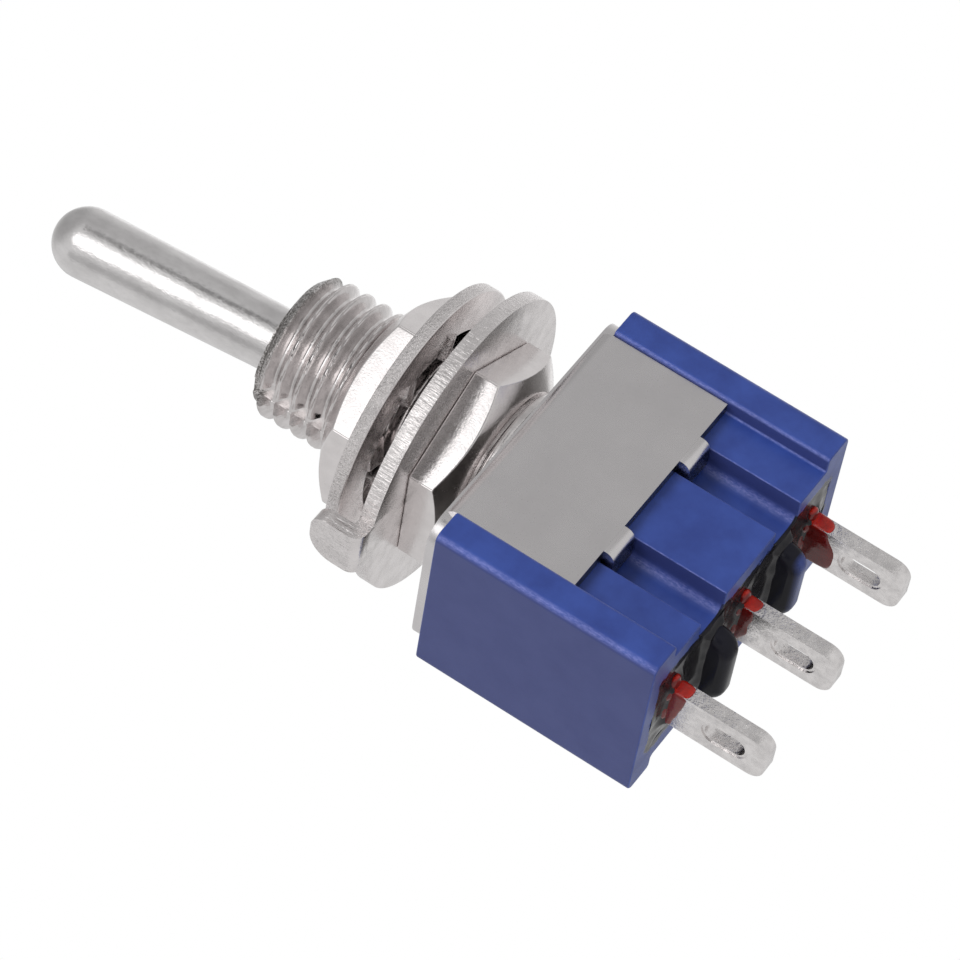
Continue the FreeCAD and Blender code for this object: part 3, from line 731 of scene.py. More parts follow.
SATIN_LEVER = Finish("satin_lever", "lever", (0.85, 0.83, 0.828), (0.69, 0.672, 0.670),
                     gloss=(0.15, 0.26), grain=0.9, fine=0.10, relief=0.012, fine_relief=0.0075,
                     stretch=(1.0, 1.0, 1.6))
NICKEL = Finish("nickel_plate", "nickel", (0.84, 0.802, 0.797), (0.77, 0.735, 0.73),
                gloss=(0.14, 0.28), grain=0.8, fine=0.08, relief=0.010, fine_relief=0.0050)
NICKEL_THREAD = ThreadFinish("nickel_thread", "nickel", (0.78, 0.745, 0.74), (0.62, 0.59, 0.585),
                             gloss=(0.08, 0.20), fine=0.08, relief=0.010, fine_relief=0.0065)
WASHER = RimFinish("washer_plate", "washer_steel", (0.88, 0.84, 0.835), (0.74, 0.705, 0.70),
                   gloss=(0.20, 0.32), grain=0.9, fine=0.08, relief=0.006, fine_relief=0.003,
                   scores=0.13, score_depth=0.11)
RING = RimFinish("ring_plate", "washer_steel", (0.87, 0.832, 0.827), (0.75, 0.715, 0.71),
                 gloss=(0.18, 0.32), grain=0.8, fine=0.08, relief=0.012, fine_relief=0.0045,
                 scores=0.16, upright=7.0, score_depth=0.08)
FRAME_PLATE = FrameFinish("frame_plate", "frame_steel", (0.765, 0.740, 0.745), (0.71, 0.687, 0.692),
                          gloss=(0.24, 0.34), grain=2.2, fine=0.09, relief=0.012, fine_relief=0.0028)
TINNED = RimFinish("tinned_terminal", "terminal_plate", (0.90, 0.87, 0.862), (0.72, 0.695, 0.69),
                   gloss=(0.18, 0.36), grain=0.4, fine=0.10, relief=0.009, fine_relief=0.004,
                   axis="Y", facing=(0.80, 0.97), scores=0.18, upright=1.6, score_depth=0.065)
BLUE = CaseFinish("blue_plastic", "case_blue", (0.033, 0.071, 0.318), (0.022, 0.048, 0.240),
                  metallic=0.0, gloss=(0.32, 0.46), grain=1.4, fine=0.05, fine_relief=0.0016)
POTTING = Finish("black_potting", "seal", (0.010, 0.010, 0.014), (0.020, 0.018, 0.020),
                 metallic=0.0, gloss=(0.10, 0.24), fine=0.1, relief=0.014, fine_relief=0.001,
                 coat=0.05, specular=0.22)
VARNISH = VarnishFinish("red_varnish", "varnish", (0.60, 0.020, 0.008), (0.36, 0.012, 0.008),
                        metallic=0.0, gloss=(0.06, 0.16), grain=0.35, fine=0.08, relief=0.020,
                        fine_relief=0.001, coat=0.2, specular=0.35)
SILVER = Finish("silver_contact", "contact", (0.86, 0.85, 0.83), (0.78, 0.77, 0.75))
SILVERED = Finish("silvered_strip", "rocker", (0.84, 0.82, 0.78), (0.76, 0.74, 0.70))
WIRE = Finish("drawn_wire", "spring", (0.60, 0.59, 0.58), (0.52, 0.51, 0.50), stretch=(1.0, 1.0, 3.0))
ACETAL = Finish("natural_acetal", "plunger", (0.80, 0.79, 0.74), (0.74, 0.73, 0.68),
                metallic=0.0, gloss=(0.40, 0.50))


# Sub-assemblies


@dataclass
class Lever:
    """Turned bat lever with its ball and hollow tail, leaning at rest."""

    lean: float = -5.0
    ball: float = 1.85
    neck: float = 1.15
    shank_foot: Pair = (1.28, 3.3)
    tip_radius: float = 1.415
    tip_rise: float = 12.1
    tail: float = 0.8
    tail_length: float = 10.0
    tail_edge: float = 0.05
    bore: float = 0.5
    bore_top: float = 7.0
    bore_edge: float = 0.03
    steps: int = 128

    def section(self) -> list[Pair]:
        """Draws half of the lever's outline.

        Returns:
            Its points from the tip to the top of the bore.
        """
        tip = arc((0.0, self.tip_rise), self.tip_radius, math.pi / 2, 0.0, 24)
        shank = line(tip[-1], self.shank_foot, 12)[1:]
        ball = arc((0.0, 0.0), self.ball,
                   math.acos(self.neck / self.ball), -math.acos(self.tail / self.ball), 30)
        foot = -self.tail_length
        tail = [(self.tail, foot + self.tail_edge), (self.tail - self.tail_edge, foot),
                (self.bore + self.bore_edge, foot), (self.bore, foot + self.bore_edge),
                (self.bore, -self.bore_top), (0.0, -self.bore_top)]
        return tip + shank + ball + tail

    def build(self) -> None:
        """Makes the lever."""
        place = Matrix.Translation((0.0, 0.0, PIVOT)) @ Matrix.Rotation(math.radians(self.lean), 4, "Y")
        lever = revolved("bat_lever", self.section(), self.steps, False)
        published(lever, SATIN_LEVER, Ride.LEVER, ["lever"], 40.0, place)


@dataclass
class Bushing:
    """Threaded bushing with its keyway, mouth, ball seat and shoulder."""

    crest: float = 3.0
    root: float = 2.56
    pitch: float = 0.75
    crest_flat: float = 0.16
    flank: float = 0.70
    seam_depth: float = 0.035
    seam_width: float = 0.055
    engaged: float = 2.74
    shoulder: float = 3.4
    shoulder_edge: float = 0.04
    shoulder_height: float = 0.2
    spigot: float = 3.1
    row_step: float = 0.036
    row_gap: float = 0.001
    steps: int = 216
    mouth: float = 2.12
    mouth_edge: float = 0.05
    mouth_rim: float = 2.6
    mouth_height: float = 2.0
    throat: float = 1.592
    throat_rise: float = 1.0
    seat: float = 1.88
    bore: float = 1.9
    flare: float = 2.5
    flare_rise: float = 2.64
    keyway_half: float = 0.45
    keyway_floor: float = 2.5
    keyway_middle: float = 2.75

    def turns(self) -> list[float]:
        """Angles of the sections, closer together at the keyway's walls."""
        edge = math.asin(self.keyway_half / self.keyway_middle)
        walls = [math.pi + side * edge + gap for side in (-1, 1) for gap in (-0.004, 0.004)]
        return sorted([math.tau * step / self.steps for step in range(self.steps)] + walls)

    def thread(self, turn: float, height: float) -> float:
        """Shapes the thread, with a fine seam along its crest.

        Args:
            turn: Angle round the axis.
            height: Height in millimetres.

        Returns:
            The thread's radius there.
        """
        phase = (height / self.pitch - turn / math.tau) % 1.0
        away = abs(2.0 * phase - 1.0)
        flank = min(1.0, max(0.0, (away - self.crest_flat) / self.flank))
        flank = 0.5 * flank + 0.5 * flank * flank * (3.0 - 2.0 * flank)
        seam = self.seam_depth * math.exp(-((away / self.seam_width) ** 2))
        return self.crest - seam - (self.crest - self.root) * flank

    def keyed(self, turn: float, radius: float) -> float:
        """Radius cut down to the keyway's floor where the keyway runs."""
        inside = math.cos(turn) < 0.0 and abs(math.sin(turn)) * self.keyway_middle < self.keyway_half
        return min(radius, self.keyway_floor / -math.cos(turn)) if inside else radius

    def threaded(self, turn: float, low: float, high: float) -> list[Pair]:
        """Draws the thread at an angle, cut by the mouth's chamfer.

        Args:
            turn: Angle round the axis.
            low: Height where the thread starts.
            high: Height where it ends.

        Returns:
            Points of radius and height.
        """
        low, high = low + self.row_gap, high - self.row_gap
        count = round((high - low) / self.row_step)
        heights = [low + (high - low) * row / count for row in range(count + 1)]
        return [(min(self.thread(turn, height), self.mouth_rim + self.mouth_height - height), height)
                for height in heights]

    def outside(self, turn: float) -> list[Pair]:
        """Draws the outer half of one section.

        Args:
            turn: Angle of the section.

        Returns:
            Points of radius and height, from the foot up to the mouth's rim.
        """
        foot, frame_top, base = low_mm("bushing").z, high_mm("frame").z, low_mm("lower_nut").z
        shoulder = base - self.shoulder_height
        ring_base, washer_top = high_mm("lower_nut").z, low_mm("upper_nut").z
        nut_top, mouth = high_mm("upper_nut").z, high_mm("bushing").z
        wide, edge = self.shoulder, self.shoulder_edge
        rows = [(self.spigot, foot), (self.spigot, frame_top), (wide - edge, frame_top),
                (wide, frame_top + edge), (wide, shoulder - edge), (wide - edge, shoulder),
                (self.engaged, shoulder), (self.engaged, ring_base)]
        rows += self.threaded(turn, ring_base, washer_top)
        rows += [(self.engaged, washer_top), (self.engaged, nut_top)]
        rows += self.threaded(turn, nut_top, mouth + self.row_gap)
        return [(self.keyed(turn, radius) if height > shoulder - HAIR else radius, height)
                for radius, height in rows]

    def inside(self) -> list[Pair]:
        """Draws the inner half of every section.

        Returns:
            Points of radius and height, from the mouth down to the flare.
        """
        foot, mouth = low_mm("bushing").z, high_mm("bushing").z
        seat = arc((0.0, PIVOT), self.seat, math.acos(self.throat / self.seat), 0.0, 8)[1:]
        return [(self.mouth + self.mouth_edge, mouth), (self.mouth, mouth - self.mouth_edge),
                (self.throat, PIVOT + self.throat_rise), *seat, (self.bore, PIVOT - HAIR),
                (self.bore, foot + self.flare_rise), (self.flare, foot)]

    def build(self) -> None:
        """Makes the bushing."""
        inner = self.inside()
        rows = [spun(self.outside(turn) + inner, turn) for turn in self.turns()]
        published(grid("threaded_bushing", rows, True, True), NICKEL_THREAD, Ride.SWITCH, ["bushing"], 46.0)


@dataclass
class Nut:
    """Thin hexagon nut, chamfered on one side."""

    name: str
    node: str
    chamfer: ChamferSide
    half: float = 3.95
    face: float = 3.3
    slope: float = math.tan(math.radians(30.0))
    bore: float = 2.76
    bore_round: float = 0.06
    edge_round: float = 0.08
    corner_cut: float = 0.04
    corner_slope: float = 3.0
    corner_blend: float = 0.02
    corner_turns: tuple[float, ...] = (0.25, 0.5, 0.9, 1.4, 2.0)
    flat_steps: int = 24

    def turns(self) -> list[float]:
        """Chooses the angles of the sections, closer together at the six corners.

        Returns:
            The angles in order.
        """
        angles = []
        for flat in range(6):
            start = math.tau * (flat - 0.5) / 6
            angles += [start + math.tau / 6 * step / self.flat_steps for step in range(self.flat_steps)]
            angles += [start + side * math.radians(turn) for turn in self.corner_turns for side in (1, -1)]
        return sorted({round(angle % math.tau, 7) for angle in angles})

    def across(self, turn: float) -> float:
        """Shapes the hexagon, with its corners rounded off.

        Args:
            turn: Angle round the axis.

        Returns:
            The nut's outer radius there.
        """
        off = (turn + math.pi / 6) % (math.pi / 3) - math.pi / 6
        plain = self.half / math.cos(off)
        corner = self.half / math.cos(math.pi / 6) - self.corner_cut
        limit = corner + self.corner_slope * (math.pi / 6 - abs(off))
        blend = max(0.0, self.corner_blend - abs(plain - limit)) / self.corner_blend
        return min(plain, limit) - blend * blend * self.corner_blend / 4

    def build(self) -> None:
        """Makes the nut."""
        low, high = low_mm(self.node).z, high_mm(self.node).z
        start = low if self.chamfer is ChamferSide.UP else high
        radii = [self.bore_round, self.edge_round, self.edge_round, self.edge_round, self.bore_round]
        rows = []
        for turn in self.turns():
            outer = self.across(turn)
            drop = (outer - self.face) * self.slope
            section = [(self.bore, 0.0), (outer, 0.0), (outer, high - low - drop),
                       (self.face, high - low), (self.bore, high - low)]
            rounded = filleted(section, radii, 4)
            rows.append(spun([(radius, start + self.chamfer.value * rise) for radius, rise in rounded], turn))
        published(grid(self.name, rows, True, True), NICKEL, Ride.SWITCH, [self.node], 50.0)


@dataclass
class LockWasher:
    """Lock washer with twisted teeth round its bore."""

    outer: float = 5.6
    inner: float = 3.9
    thickness: float = 0.57
    edges: tuple[float, ...] = (0.04, 0.09, 0.063, 0.04)
    teeth: int = 8
    tooth_tip: float = 3.05
    tooth_root: float = 0.15
    tooth_width: float = 1.1
    tooth_thickness: float = 0.4
    tooth_round: float = 0.07
    tooth_twist: float = 20.0

    def tooth(self, number: int, top: float) -> Thing:
        """Makes one twisted tooth.

        Args:
            number: Which tooth it is, counted round the washer.
            top: Height of the washer's upper face.

        Returns:
            The tooth.
        """
        half_width, half_height = self.tooth_width / 2, self.tooth_thickness / 2
        outline = filleted(centred((half_width, half_height)), self.tooth_round, 3)
        tooth = prism("tooth", outline, self.tooth_tip, self.inner + self.tooth_root, Along.X)
        twist = math.radians(self.tooth_twist)
        drop = half_width * math.sin(twist) + half_height * math.cos(twist)
        turn = Matrix.Rotation(math.tau * (number + 0.5) / self.teeth, 4, "Z")
        tooth.data.transform(turn @ Matrix.Translation((0, 0, top - drop)) @ Matrix.Rotation(twist, 4, "X"))
        return tooth

    def build(self) -> None:
        """Makes the washer."""
        top = high_mm("lock_washer").z
        section = filleted(rectangle((self.inner, top - self.thickness), (self.outer, top)), self.edges, 4)
        parts = [revolved("rim", section, 256, True)]
        parts += [self.tooth(number, top) for number in range(self.teeth)]
        published(joined("toothed_lock_washer", parts), WASHER, Ride.SWITCH, ["lock_washer"])


@dataclass
class LocatingRing:
    """Flat ring with a key in the bushing's keyway and a tab bent up at its rim."""

    outer: float = 6.2
    bore: float = 3.1
    thickness: float = 0.62
    tab_face: float = 6.95
    tab_root: float = 5.9
    tab_ends: Pair = (-1.40, 0.75)
    tab_corners: Pair = (1.1, 0.6)
    tab_height: float = 2.1
    tab_room: Pair = (-7.5, -5.0)
    bend: float = 0.5
    inner_bend: float = 0.12
    key: Pair = (-3.3, -2.7)
    key_half: float = 0.4
    edge: float = 0.07

    def tab(self, low: float) -> Thing:
        """Makes the bent tab, from inside the rim to its rounded top.

        Args:
            low: Height of the ring's lower face.

        Returns:
            The tab.
        """
        top = low + self.tab_height
        outer, inner, root = -self.tab_face, self.thickness - self.tab_face, -self.tab_root
        profile = [(root, low), (outer, low), (outer, top), (inner, top),
                   (inner, low + self.thickness), (root, low + self.thickness)]
        outline = filleted(profile, [0.0, self.bend, 0.0, 0.0, self.inner_bend, 0.0], 8)
        near, far = self.tab_ends
        tab = prism("tab", outline, near, far, Along.Y)
        round_top = filleted(rectangle((near, low - CUT_ROOM), (far, top)), [0.0, 0.0, *self.tab_corners], 10)
        return combined(tab, [prism("keep", round_top, *self.tab_room, Along.X)], Join.INTERSECT)

    def build(self) -> None:
        """Makes the ring."""
        low = low_mm("locating_ring").z
        top = low + self.thickness
        ring = revolved("tabbed_locating_ring", rectangle((self.bore, low), (self.outer, top)), 220, True)
        key = box("key", (self.key[0], -self.key_half, low), (self.key[1], self.key_half, top))
        combined(ring, [key, self.tab(low)], Join.UNION)
        published(softened(ring, self.edge), RING, Ride.SWITCH, ["locating_ring"])


@dataclass
class Frame:
    """Stamped frame bent from one sheet, with locking tabs curled into the case's grooves."""

    sheet: float = 0.5
    half_length: float = 6.25
    end_half: float = 3.5
    end_round: float = 0.95
    end_lift: float = 0.08
    flap_half: float = 5.13
    flap_face: float = 3.76
    flap_drop: float = 5.06
    bend: float = 0.6
    inner_bend: float = 0.1
    hole: float = 3.1
    tab_half: float = 0.7
    tab_end: float = 2.41
    tab_bend: float = 0.42
    tab_inner_bend: float = 0.06
    tab_edge: float = 0.05
    tab_overlap: float = 0.3
    edge: float = 0.09

    def strip(self, top: float, low: float) -> Thing:
        """Makes the plate's middle and both flaps as one bent strip.

        Args:
            top: Height of the plate's upper face.
            low: Height of the flaps' lower edges.

        Returns:
            The strip.
        """
        face, inner, under = self.flap_face, self.flap_face - self.sheet, top - self.sheet
        profile = [(-face, low), (-face, top), (face, top), (face, low),
                   (inner, low), (inner, under), (-inner, under), (-inner, low)]
        radii = [0, self.bend, self.bend, 0, 0, self.inner_bend, self.inner_bend, 0]
        return prism("plated_frame", filleted(profile, radii, 8), -self.flap_half, self.flap_half, Along.X)

    def tab(self, x: float, side: int, low: float) -> Thing:
        """Makes one locking tab, curled inwards below a flap's lower edge.

        Args:
            x: Middle of the tab.
            side: Side of the case, 1 or -1.
            low: Height of the flap's lower edge.

        Returns:
            The tab.
        """
        face, inner = self.flap_face - HAIR, self.flap_face - self.sheet + HAIR
        foot, head = low - self.sheet, low + self.tab_overlap
        profile = [(face, head), (face, foot), (self.tab_end, foot),
                   (self.tab_end, low), (inner, low), (inner, head)]
        radii = [0, self.tab_bend, self.tab_edge, self.tab_edge, self.tab_inner_bend, 0]
        outline = [(side * u, v) for u, v in filleted(profile, radii, 8)]
        return prism("tab", outline, x - self.tab_half, x + self.tab_half, Along.X)

    def build(self) -> None:
        """Makes the frame."""
        top = high_mm("frame").z
        low = top - self.sheet - self.flap_drop
        outline = filleted(centred((self.half_length, self.end_half)), self.end_round, 8)
        plate = prism("plate", outline, top - self.sheet + self.end_lift, top)
        tabs = [self.tab(x * GROOVE_AT, side, low) for x in (-1, 1) for side in (-1, 1)]
        body = combined(self.strip(top, low), [plate, *tabs], Join.UNION)
        hole = prism("hole", arc((0.0, 0.0), self.hole, 0.0, math.tau, 96)[:-1],
                     top - CUT_ROOM, top + CUT_ROOM)
        combined(body, [hole], Join.DIFFERENCE)
        published(softened(body, self.edge), FRAME_PLATE, Ride.SWITCH, ["frame"])


@dataclass
class Case:
    """Moulded case with ribbed faces, grooves, chamber and barriers."""

    height: float = 9.46
    half_length: float = 6.6
    half_width: float = 3.95
    rib: float = 1.45
    step: float = 0.7
    corners: Triple = (0.35, 0.2, 0.12)
    edge: float = 0.12
    groove_half: float = 0.84
    groove_floor: float = 2.15
    groove_rim: float = 4.2
    groove_height: float = 5.6
    groove_round: float = 0.5
    barrier_half: Pair = (0.5, 1.9)
    barrier_height: float = 1.15
    barrier_root: float = 0.7
    barrier_round: float = 1.1
    barrier_edge: float = 0.40
    chamber: Triple = (5.6, 1.55, 1.9)
    mouth_half: float = 2.45
    mouth_depth: float = 3.2
    recess: Triple = (5.8, 2.0, 0.5)
    slot_height: float = 2.5

    def shell(self, low: float, high: float) -> Thing:
        """Makes the outer form of the case without its grooves.

        Args:
            low: Height of its foot.
            high: Height of its top.

        Returns:
            The shell.
        """
        inner, ledge = self.half_length - self.rib, self.half_width - self.step
        quarter = [(self.half_length, self.half_width), (inner, self.half_width), (inner, ledge)]
        half = quarter + [(-x, y) for x, y in reversed(quarter)]
        radii = self.corners + self.corners[::-1]
        outline = filleted(half + [(x, -y) for x, y in reversed(half)], radii + radii[::-1], 6)
        return prism("moulded_case", outline, low, high)

    def groove(self, x: float, side: int, low: float) -> Thing:
        """Makes the cutter of one round-bottomed groove.

        Args:
            x: Middle of the groove.
            side: Side of the case, 1 or -1.
            low: Height of the case's foot.

        Returns:
            The cutter.
        """
        left, right = x - self.groove_half, x + self.groove_half
        outline = filleted(rectangle((left, self.groove_floor), (right, self.groove_rim)),
                           [self.groove_round, self.groove_round, 0, 0], 6)
        return prism("groove", [(u, side * v) for u, v in outline], low - CUT_ROOM, low + self.groove_height)

    def barrier(self, x: float, low: float) -> Thing:
        """Makes one tongue between two terminals.

        Args:
            x: Middle of the tongue.
            low: Height of the case's foot.

        Returns:
            The tongue.
        """
        half_thickness, half_width = self.barrier_half
        section = rectangle((-half_width, low - self.barrier_height), (half_width, low + self.barrier_root))
        outline = filleted(section, [self.barrier_round, self.barrier_round, 0, 0], 16)
        tongue = prism("barrier", outline, x - half_thickness, x + half_thickness, Along.X)
        return softened(tongue, self.barrier_edge, 6, 60.0)

    def hollows(self, low: float, top: float) -> list[Thing]:
        """Makes the cutters of the chamber, its mouth, the potting's recess and the terminals' slots.

        Args:
            low: Height of the case's foot.
            top: Height of its top.

        Returns:
            The cutters.
        """
        cutters = []
        for name, (length, width), bottom, head in (
                ("chamber", self.chamber[:2], low + self.chamber[2], top + CUT_ROOM),
                ("mouth", (self.chamber[0], self.mouth_half), top - self.mouth_depth, top + CUT_ROOM),
                ("recess", self.recess[:2], low - CUT_ROOM, low + self.recess[2])):
            cutters.append(box(name, (-length, -width, bottom), (length, width, head)))
        for x in (-TERMINAL_PITCH, 0.0, TERMINAL_PITCH):
            cutters.append(box("slot", (x - BLADE_HALF_THICKNESS, -BLADE_HALF_WIDTH, low),
                               (x + BLADE_HALF_THICKNESS, BLADE_HALF_WIDTH, low + self.slot_height)))
        return cutters

    def build(self) -> None:
        """Makes the case."""
        top = high_mm("case").z
        low = top - self.height
        grooves = [self.groove(x * GROOVE_AT, side, low) for x in (-1, 1) for side in (-1, 1)]
        case = combined(self.shell(low, top), grooves + self.hollows(low, top), Join.DIFFERENCE)
        case = softened(case, self.edge, 4, 38.0)
        combined(case, [self.barrier(x * BARRIER_AT, low) for x in (-1, 1)], Join.UNION)
        published(case, BLUE, Ride.SWITCH, ["case"])


@dataclass
class Terminal:
    """Flat tinned terminal with a solder slot, and what carries it inside the case."""

    name: str
    node: str
    x: float
    shelf: float = 0.0
    length: float = 4.3
    tip_round: float = 0.65
    top_round: float = 0.02
    edge: float = 0.07
    slot_half: float = 0.42
    slot_end: float = 0.9
    slot_length: float = 1.7
    slot_roundness: float = 0.98
    coin_margin: float = 0.13
    coin_depth: float = 0.05
    shelf_top: float = 3.85
    shelf_thickness: float = 0.55
    post_top: float = 4.725

    def plate(self) -> Thing:
        """Makes the flat of the terminal, up to its top inside the case.

        Returns:
            The flat.
        """
        tip = CASE_FOOT - self.length
        top = CASE_FOOT + (self.shelf_top if self.shelf else self.post_top - BLADE_HALF_THICKNESS)
        outline = filleted(rectangle((-BLADE_HALF_WIDTH, tip), (BLADE_HALF_WIDTH, top)),
                           [self.tip_round, self.tip_round, self.top_round, self.top_round], 8)
        half = BLADE_HALF_THICKNESS
        return prism(self.name, outline, self.x - half, self.x + half, Along.X)

    def slot(self, margin: float, low: float, high: float) -> Thing:
        """Makes a cutter of the solder slot.

        Args:
            margin: How much wider than the slot it is all round.
            low: Where it starts along X.
            high: Where it ends along X.

        Returns:
            The cutter.
        """
        half = self.slot_half + margin
        foot = CASE_FOOT - self.length + self.slot_end - margin
        head = foot + self.slot_length + 2 * margin
        outline = filleted(rectangle((-half, foot), (half, head)), half * self.slot_roundness, 12)
        return prism("slot", outline, low, high, Along.X)

    def inner(self) -> Thing:
        """Makes what the terminal carries inside the case: a contact's shelf or a round crown.

        Returns:
            The shelf or the crown.
        """
        if self.shelf:
            seat = CASE_FOOT + self.shelf_top
            left, right = sorted((self.x, self.x + self.shelf))
            half = BLADE_HALF_WIDTH - HAIR
            return box("shelf", (left, -half, seat - self.shelf_thickness), (right, half, seat + HAIR))
        centre = (self.x, CASE_FOOT + self.post_top - BLADE_HALF_THICKNESS)
        crown = arc(centre, BLADE_HALF_THICKNESS, 0.0, math.pi, 12)
        return prism("crown", crown, -BLADE_HALF_WIDTH, BLADE_HALF_WIDTH, Along.Y)

    def build(self) -> None:
        """Makes the terminal."""
        terminal = softened(combined(self.plate(), [self.inner()], Join.UNION), self.edge)
        face, back = self.x - BLADE_HALF_THICKNESS, self.x + BLADE_HALF_THICKNESS
        before, beyond = face - CUT_ROOM, back + CUT_ROOM
        cutters = [self.slot(0.0, before, beyond),
                   self.slot(self.coin_margin, before, face + self.coin_depth),
                   self.slot(self.coin_margin, back - self.coin_depth, beyond)]
        combined(terminal, cutters, Join.DIFFERENCE)
        published(terminal, TINNED, Ride.SWITCH, [self.node], 50.0)


@dataclass
class Varnish:
    """Sealing varnish: a thin sleeve down a terminal's root and small runs on the potting."""

    name: str
    node: str
    x: float
    seed: int
    reach: float
    swing: float
    lead: float
    wave: float = 0.45
    film: float = 0.07
    overlap: float = 0.15
    inset: float = 0.05
    corner: float = 0.14
    spacing: float = 0.04
    steps: int = 12
    wave_grain: float = 0.9
    taper: float = 0.004
    voxel: float = 0.04
    ripple: float = 0.03
    lumps: tuple[tuple[Triple, Triple], ...] = (
        ((-0.34, -0.75, -0.05), (0.20, 0.36, 0.18)),
        ((-0.36, 0.35, -0.04), (0.20, 0.40, 0.16)),
        ((0.30, -0.2, -0.06), (0.20, 0.6, 0.2)),
    )

    def sleeve(self) -> Thing:
        """Makes a thin skin round the terminal with a wavy lower edge.

        Returns:
            The skin.
        """
        corners = centred((BLADE_HALF_THICKNESS, BLADE_HALF_WIDTH))
        outline = self.divided(filleted(corners, self.corner, 6))
        start = min(range(len(outline)), key=lambda index: outline[index][1])
        outline = outline[start:] + outline[:start]
        top = CASE_FOOT + self.overlap
        rows = []
        for index, (u, v) in enumerate(outline):
            along = Vector(outline[(index + 1) % len(outline)]) - Vector(outline[index - 1])
            out = Vector((along.y, -along.x)).normalized()
            around = math.tau * index / len(outline) - math.pi / 2
            spot = (self.wave_grain * math.cos(around), self.wave_grain * math.sin(around), self.seed * 5.3)
            wave = noise.noise(spot)
            reach = self.reach + self.swing * math.cos(around - math.radians(self.lead)) + self.wave * wave
            row = []
            for step in range(self.steps + 1):
                run = step / self.steps
                full = self.film * (1.0 + 0.5 * wave)
                thick = full * math.sqrt(max(0.0, 1.0 - run ** 4)) - self.taper * run
                height = top - run * (reach + self.overlap)
                row.append((self.x + u + out.x * thick, v + out.y * thick, height))
            row += [(self.x + u - out.x * self.inset, v - out.y * self.inset, height)
                    for height in (CASE_FOOT - reach, top)]
            rows.append(row)
        return grid("sleeve", rows, True, True)

    def divided(self, outline: Sequence[Pair]) -> list[Pair]:
        """Adds points to an outline so that none are further apart than the spacing.

        Args:
            outline: Closed outline.

        Returns:
            The outline with more points.
        """
        points = []
        for start, end in zip(outline, [*outline[1:], outline[0]]):
            span = math.dist(start, end)
            if span > TINY:
                points += line(start, end, math.ceil(span / self.spacing))[:-1]
        return points

    def lump(self, centre: Triple, size: Triple) -> Thing:
        """Makes one rounded lump of varnish.

        Args:
            centre: Its centre.
            size: Its half sizes.

        Returns:
            The lump.
        """
        mesh = bpy.data.meshes.new("lump")
        with edited(mesh) as work:
            bmesh.ops.create_icosphere(work, subdivisions=3, radius=1.0)
        mesh.transform(Matrix.Translation(centre) @ Matrix.Diagonal((*size, 1.0)))
        return linked("lump", mesh)

    def build(self) -> None:
        """Makes the sleeve and the runs of varnish at its foot."""
        shift = noise.noise((self.seed * 3.7, 0.0, 0.0))
        heart = ((0.0, 0.0, 0.02), (0.60, 1.30, 0.16))
        front = ((-0.05 + 0.1 * shift, -1.22, -0.06), (0.30, 0.36, 0.20))
        foot = Vector((self.x, 0.0, CASE_FOOT))
        lumps = [self.lump(foot + Vector(centre), size) for centre, size in (heart, front, *self.lumps)]
        runs = remeshed(joined("runs", lumps), self.voxel, 3)
        for vertex in runs.data.vertices:
            height = noise.noise(vertex.co * 3.0 + Vector((self.seed, 0, 0)))
            vertex.co += vertex.normal * self.ripple * height
        published(joined(self.name, [self.sleeve(), runs]), VARNISH, Ride.SWITCH, [self.node], 70.0)


@dataclass
class Seal:
    """Black potting poured round the terminals and barriers."""

    half_length: float = 5.93
    half_width: float = 2.13
    depth: float = 0.5
    climb: float = 0.28
    climb_reach: float = 0.16
    most_climb: float = 0.4
    swell: float = 0.06
    blade_half: Pair = (0.33, 1.03)
    barrier_half: Pair = (0.5, 1.9)
    columns: int = 190
    lines: int = 66

    def level(self, x: float, y: float) -> float:
        """Shapes the potting's open face, which looks down and climbs what stands in it.

        Args:
            x: Place along the row of terminals.
            y: Place across it.

        Returns:
            The face's height there.
        """
        climbed = [(at, self.blade_half) for at in (-TERMINAL_PITCH, 0.0, TERMINAL_PITCH)]
        climbed += [(at, self.barrier_half) for at in (-BARRIER_AT, BARRIER_AT)]
        rise = 0.0
        for at, (half, reach) in climbed:
            away = math.hypot(max(0.0, abs(x - at) - half), max(0.0, abs(y) - reach))
            rise += self.climb * math.exp(-away / self.climb_reach)
        swell = self.swell * noise.noise((x * 1.3, y * 1.3, 4.0))
        return CASE_FOOT + HAIR - min(rise, self.most_climb) - swell

    def build(self) -> None:
        """Makes the potting."""
        rows = []
        for column in range(self.columns + 1):
            x = self.half_length * (2 * column / self.columns - 1)
            across = [self.half_width * (2 * number / self.lines - 1) for number in range(self.lines + 1)]
            under = [(x, y, self.level(x, y)) for y in across]
            rows.append(under + [(x, y, CASE_FOOT + self.depth) for y in reversed(across)])
        seal = grid("black_seal", rows, False, True)
        with edited(seal.data) as work:
            bmesh.ops.holes_fill(work, edges=work.edges, sides=0)
            bmesh.ops.recalc_face_normals(work, faces=work.faces)
        published(seal, POTTING, Ride.SWITCH, ["base_seal"], 50.0)


@dataclass
class HiddenParts:
    """Inner pieces that keep their own solids and get their finishes."""

    finishes: dict[str, Finish] = field(default_factory=lambda: {
        "rocker_contact": SILVERED, "left_fixed_contact": SILVER, "right_fixed_contact": SILVER,
        "plunger": ACETAL, "plunger_spring": WIRE,
    })

    def build(self) -> None:
        """Dresses each inner piece."""
        for node, finish in self.finishes.items():
            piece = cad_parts[node]
            piece.data.materials.clear()
            piece.data.materials.append(finish.material())
            LOG.info("%s: %s", node, finish.name)


# Studio


@dataclass(frozen=True)
class Glow:
    """A patch of the studio that shiny surfaces reflect, with its inner and outer half angles."""

    towards: Triple
    inner: float
    outer: float
    level: float


@dataclass(frozen=True)
class Lamp:
    """A soft square lamp, with its place and side in metres and its power in watts."""

    name: str
    place: Triple
    side: float
    power: float


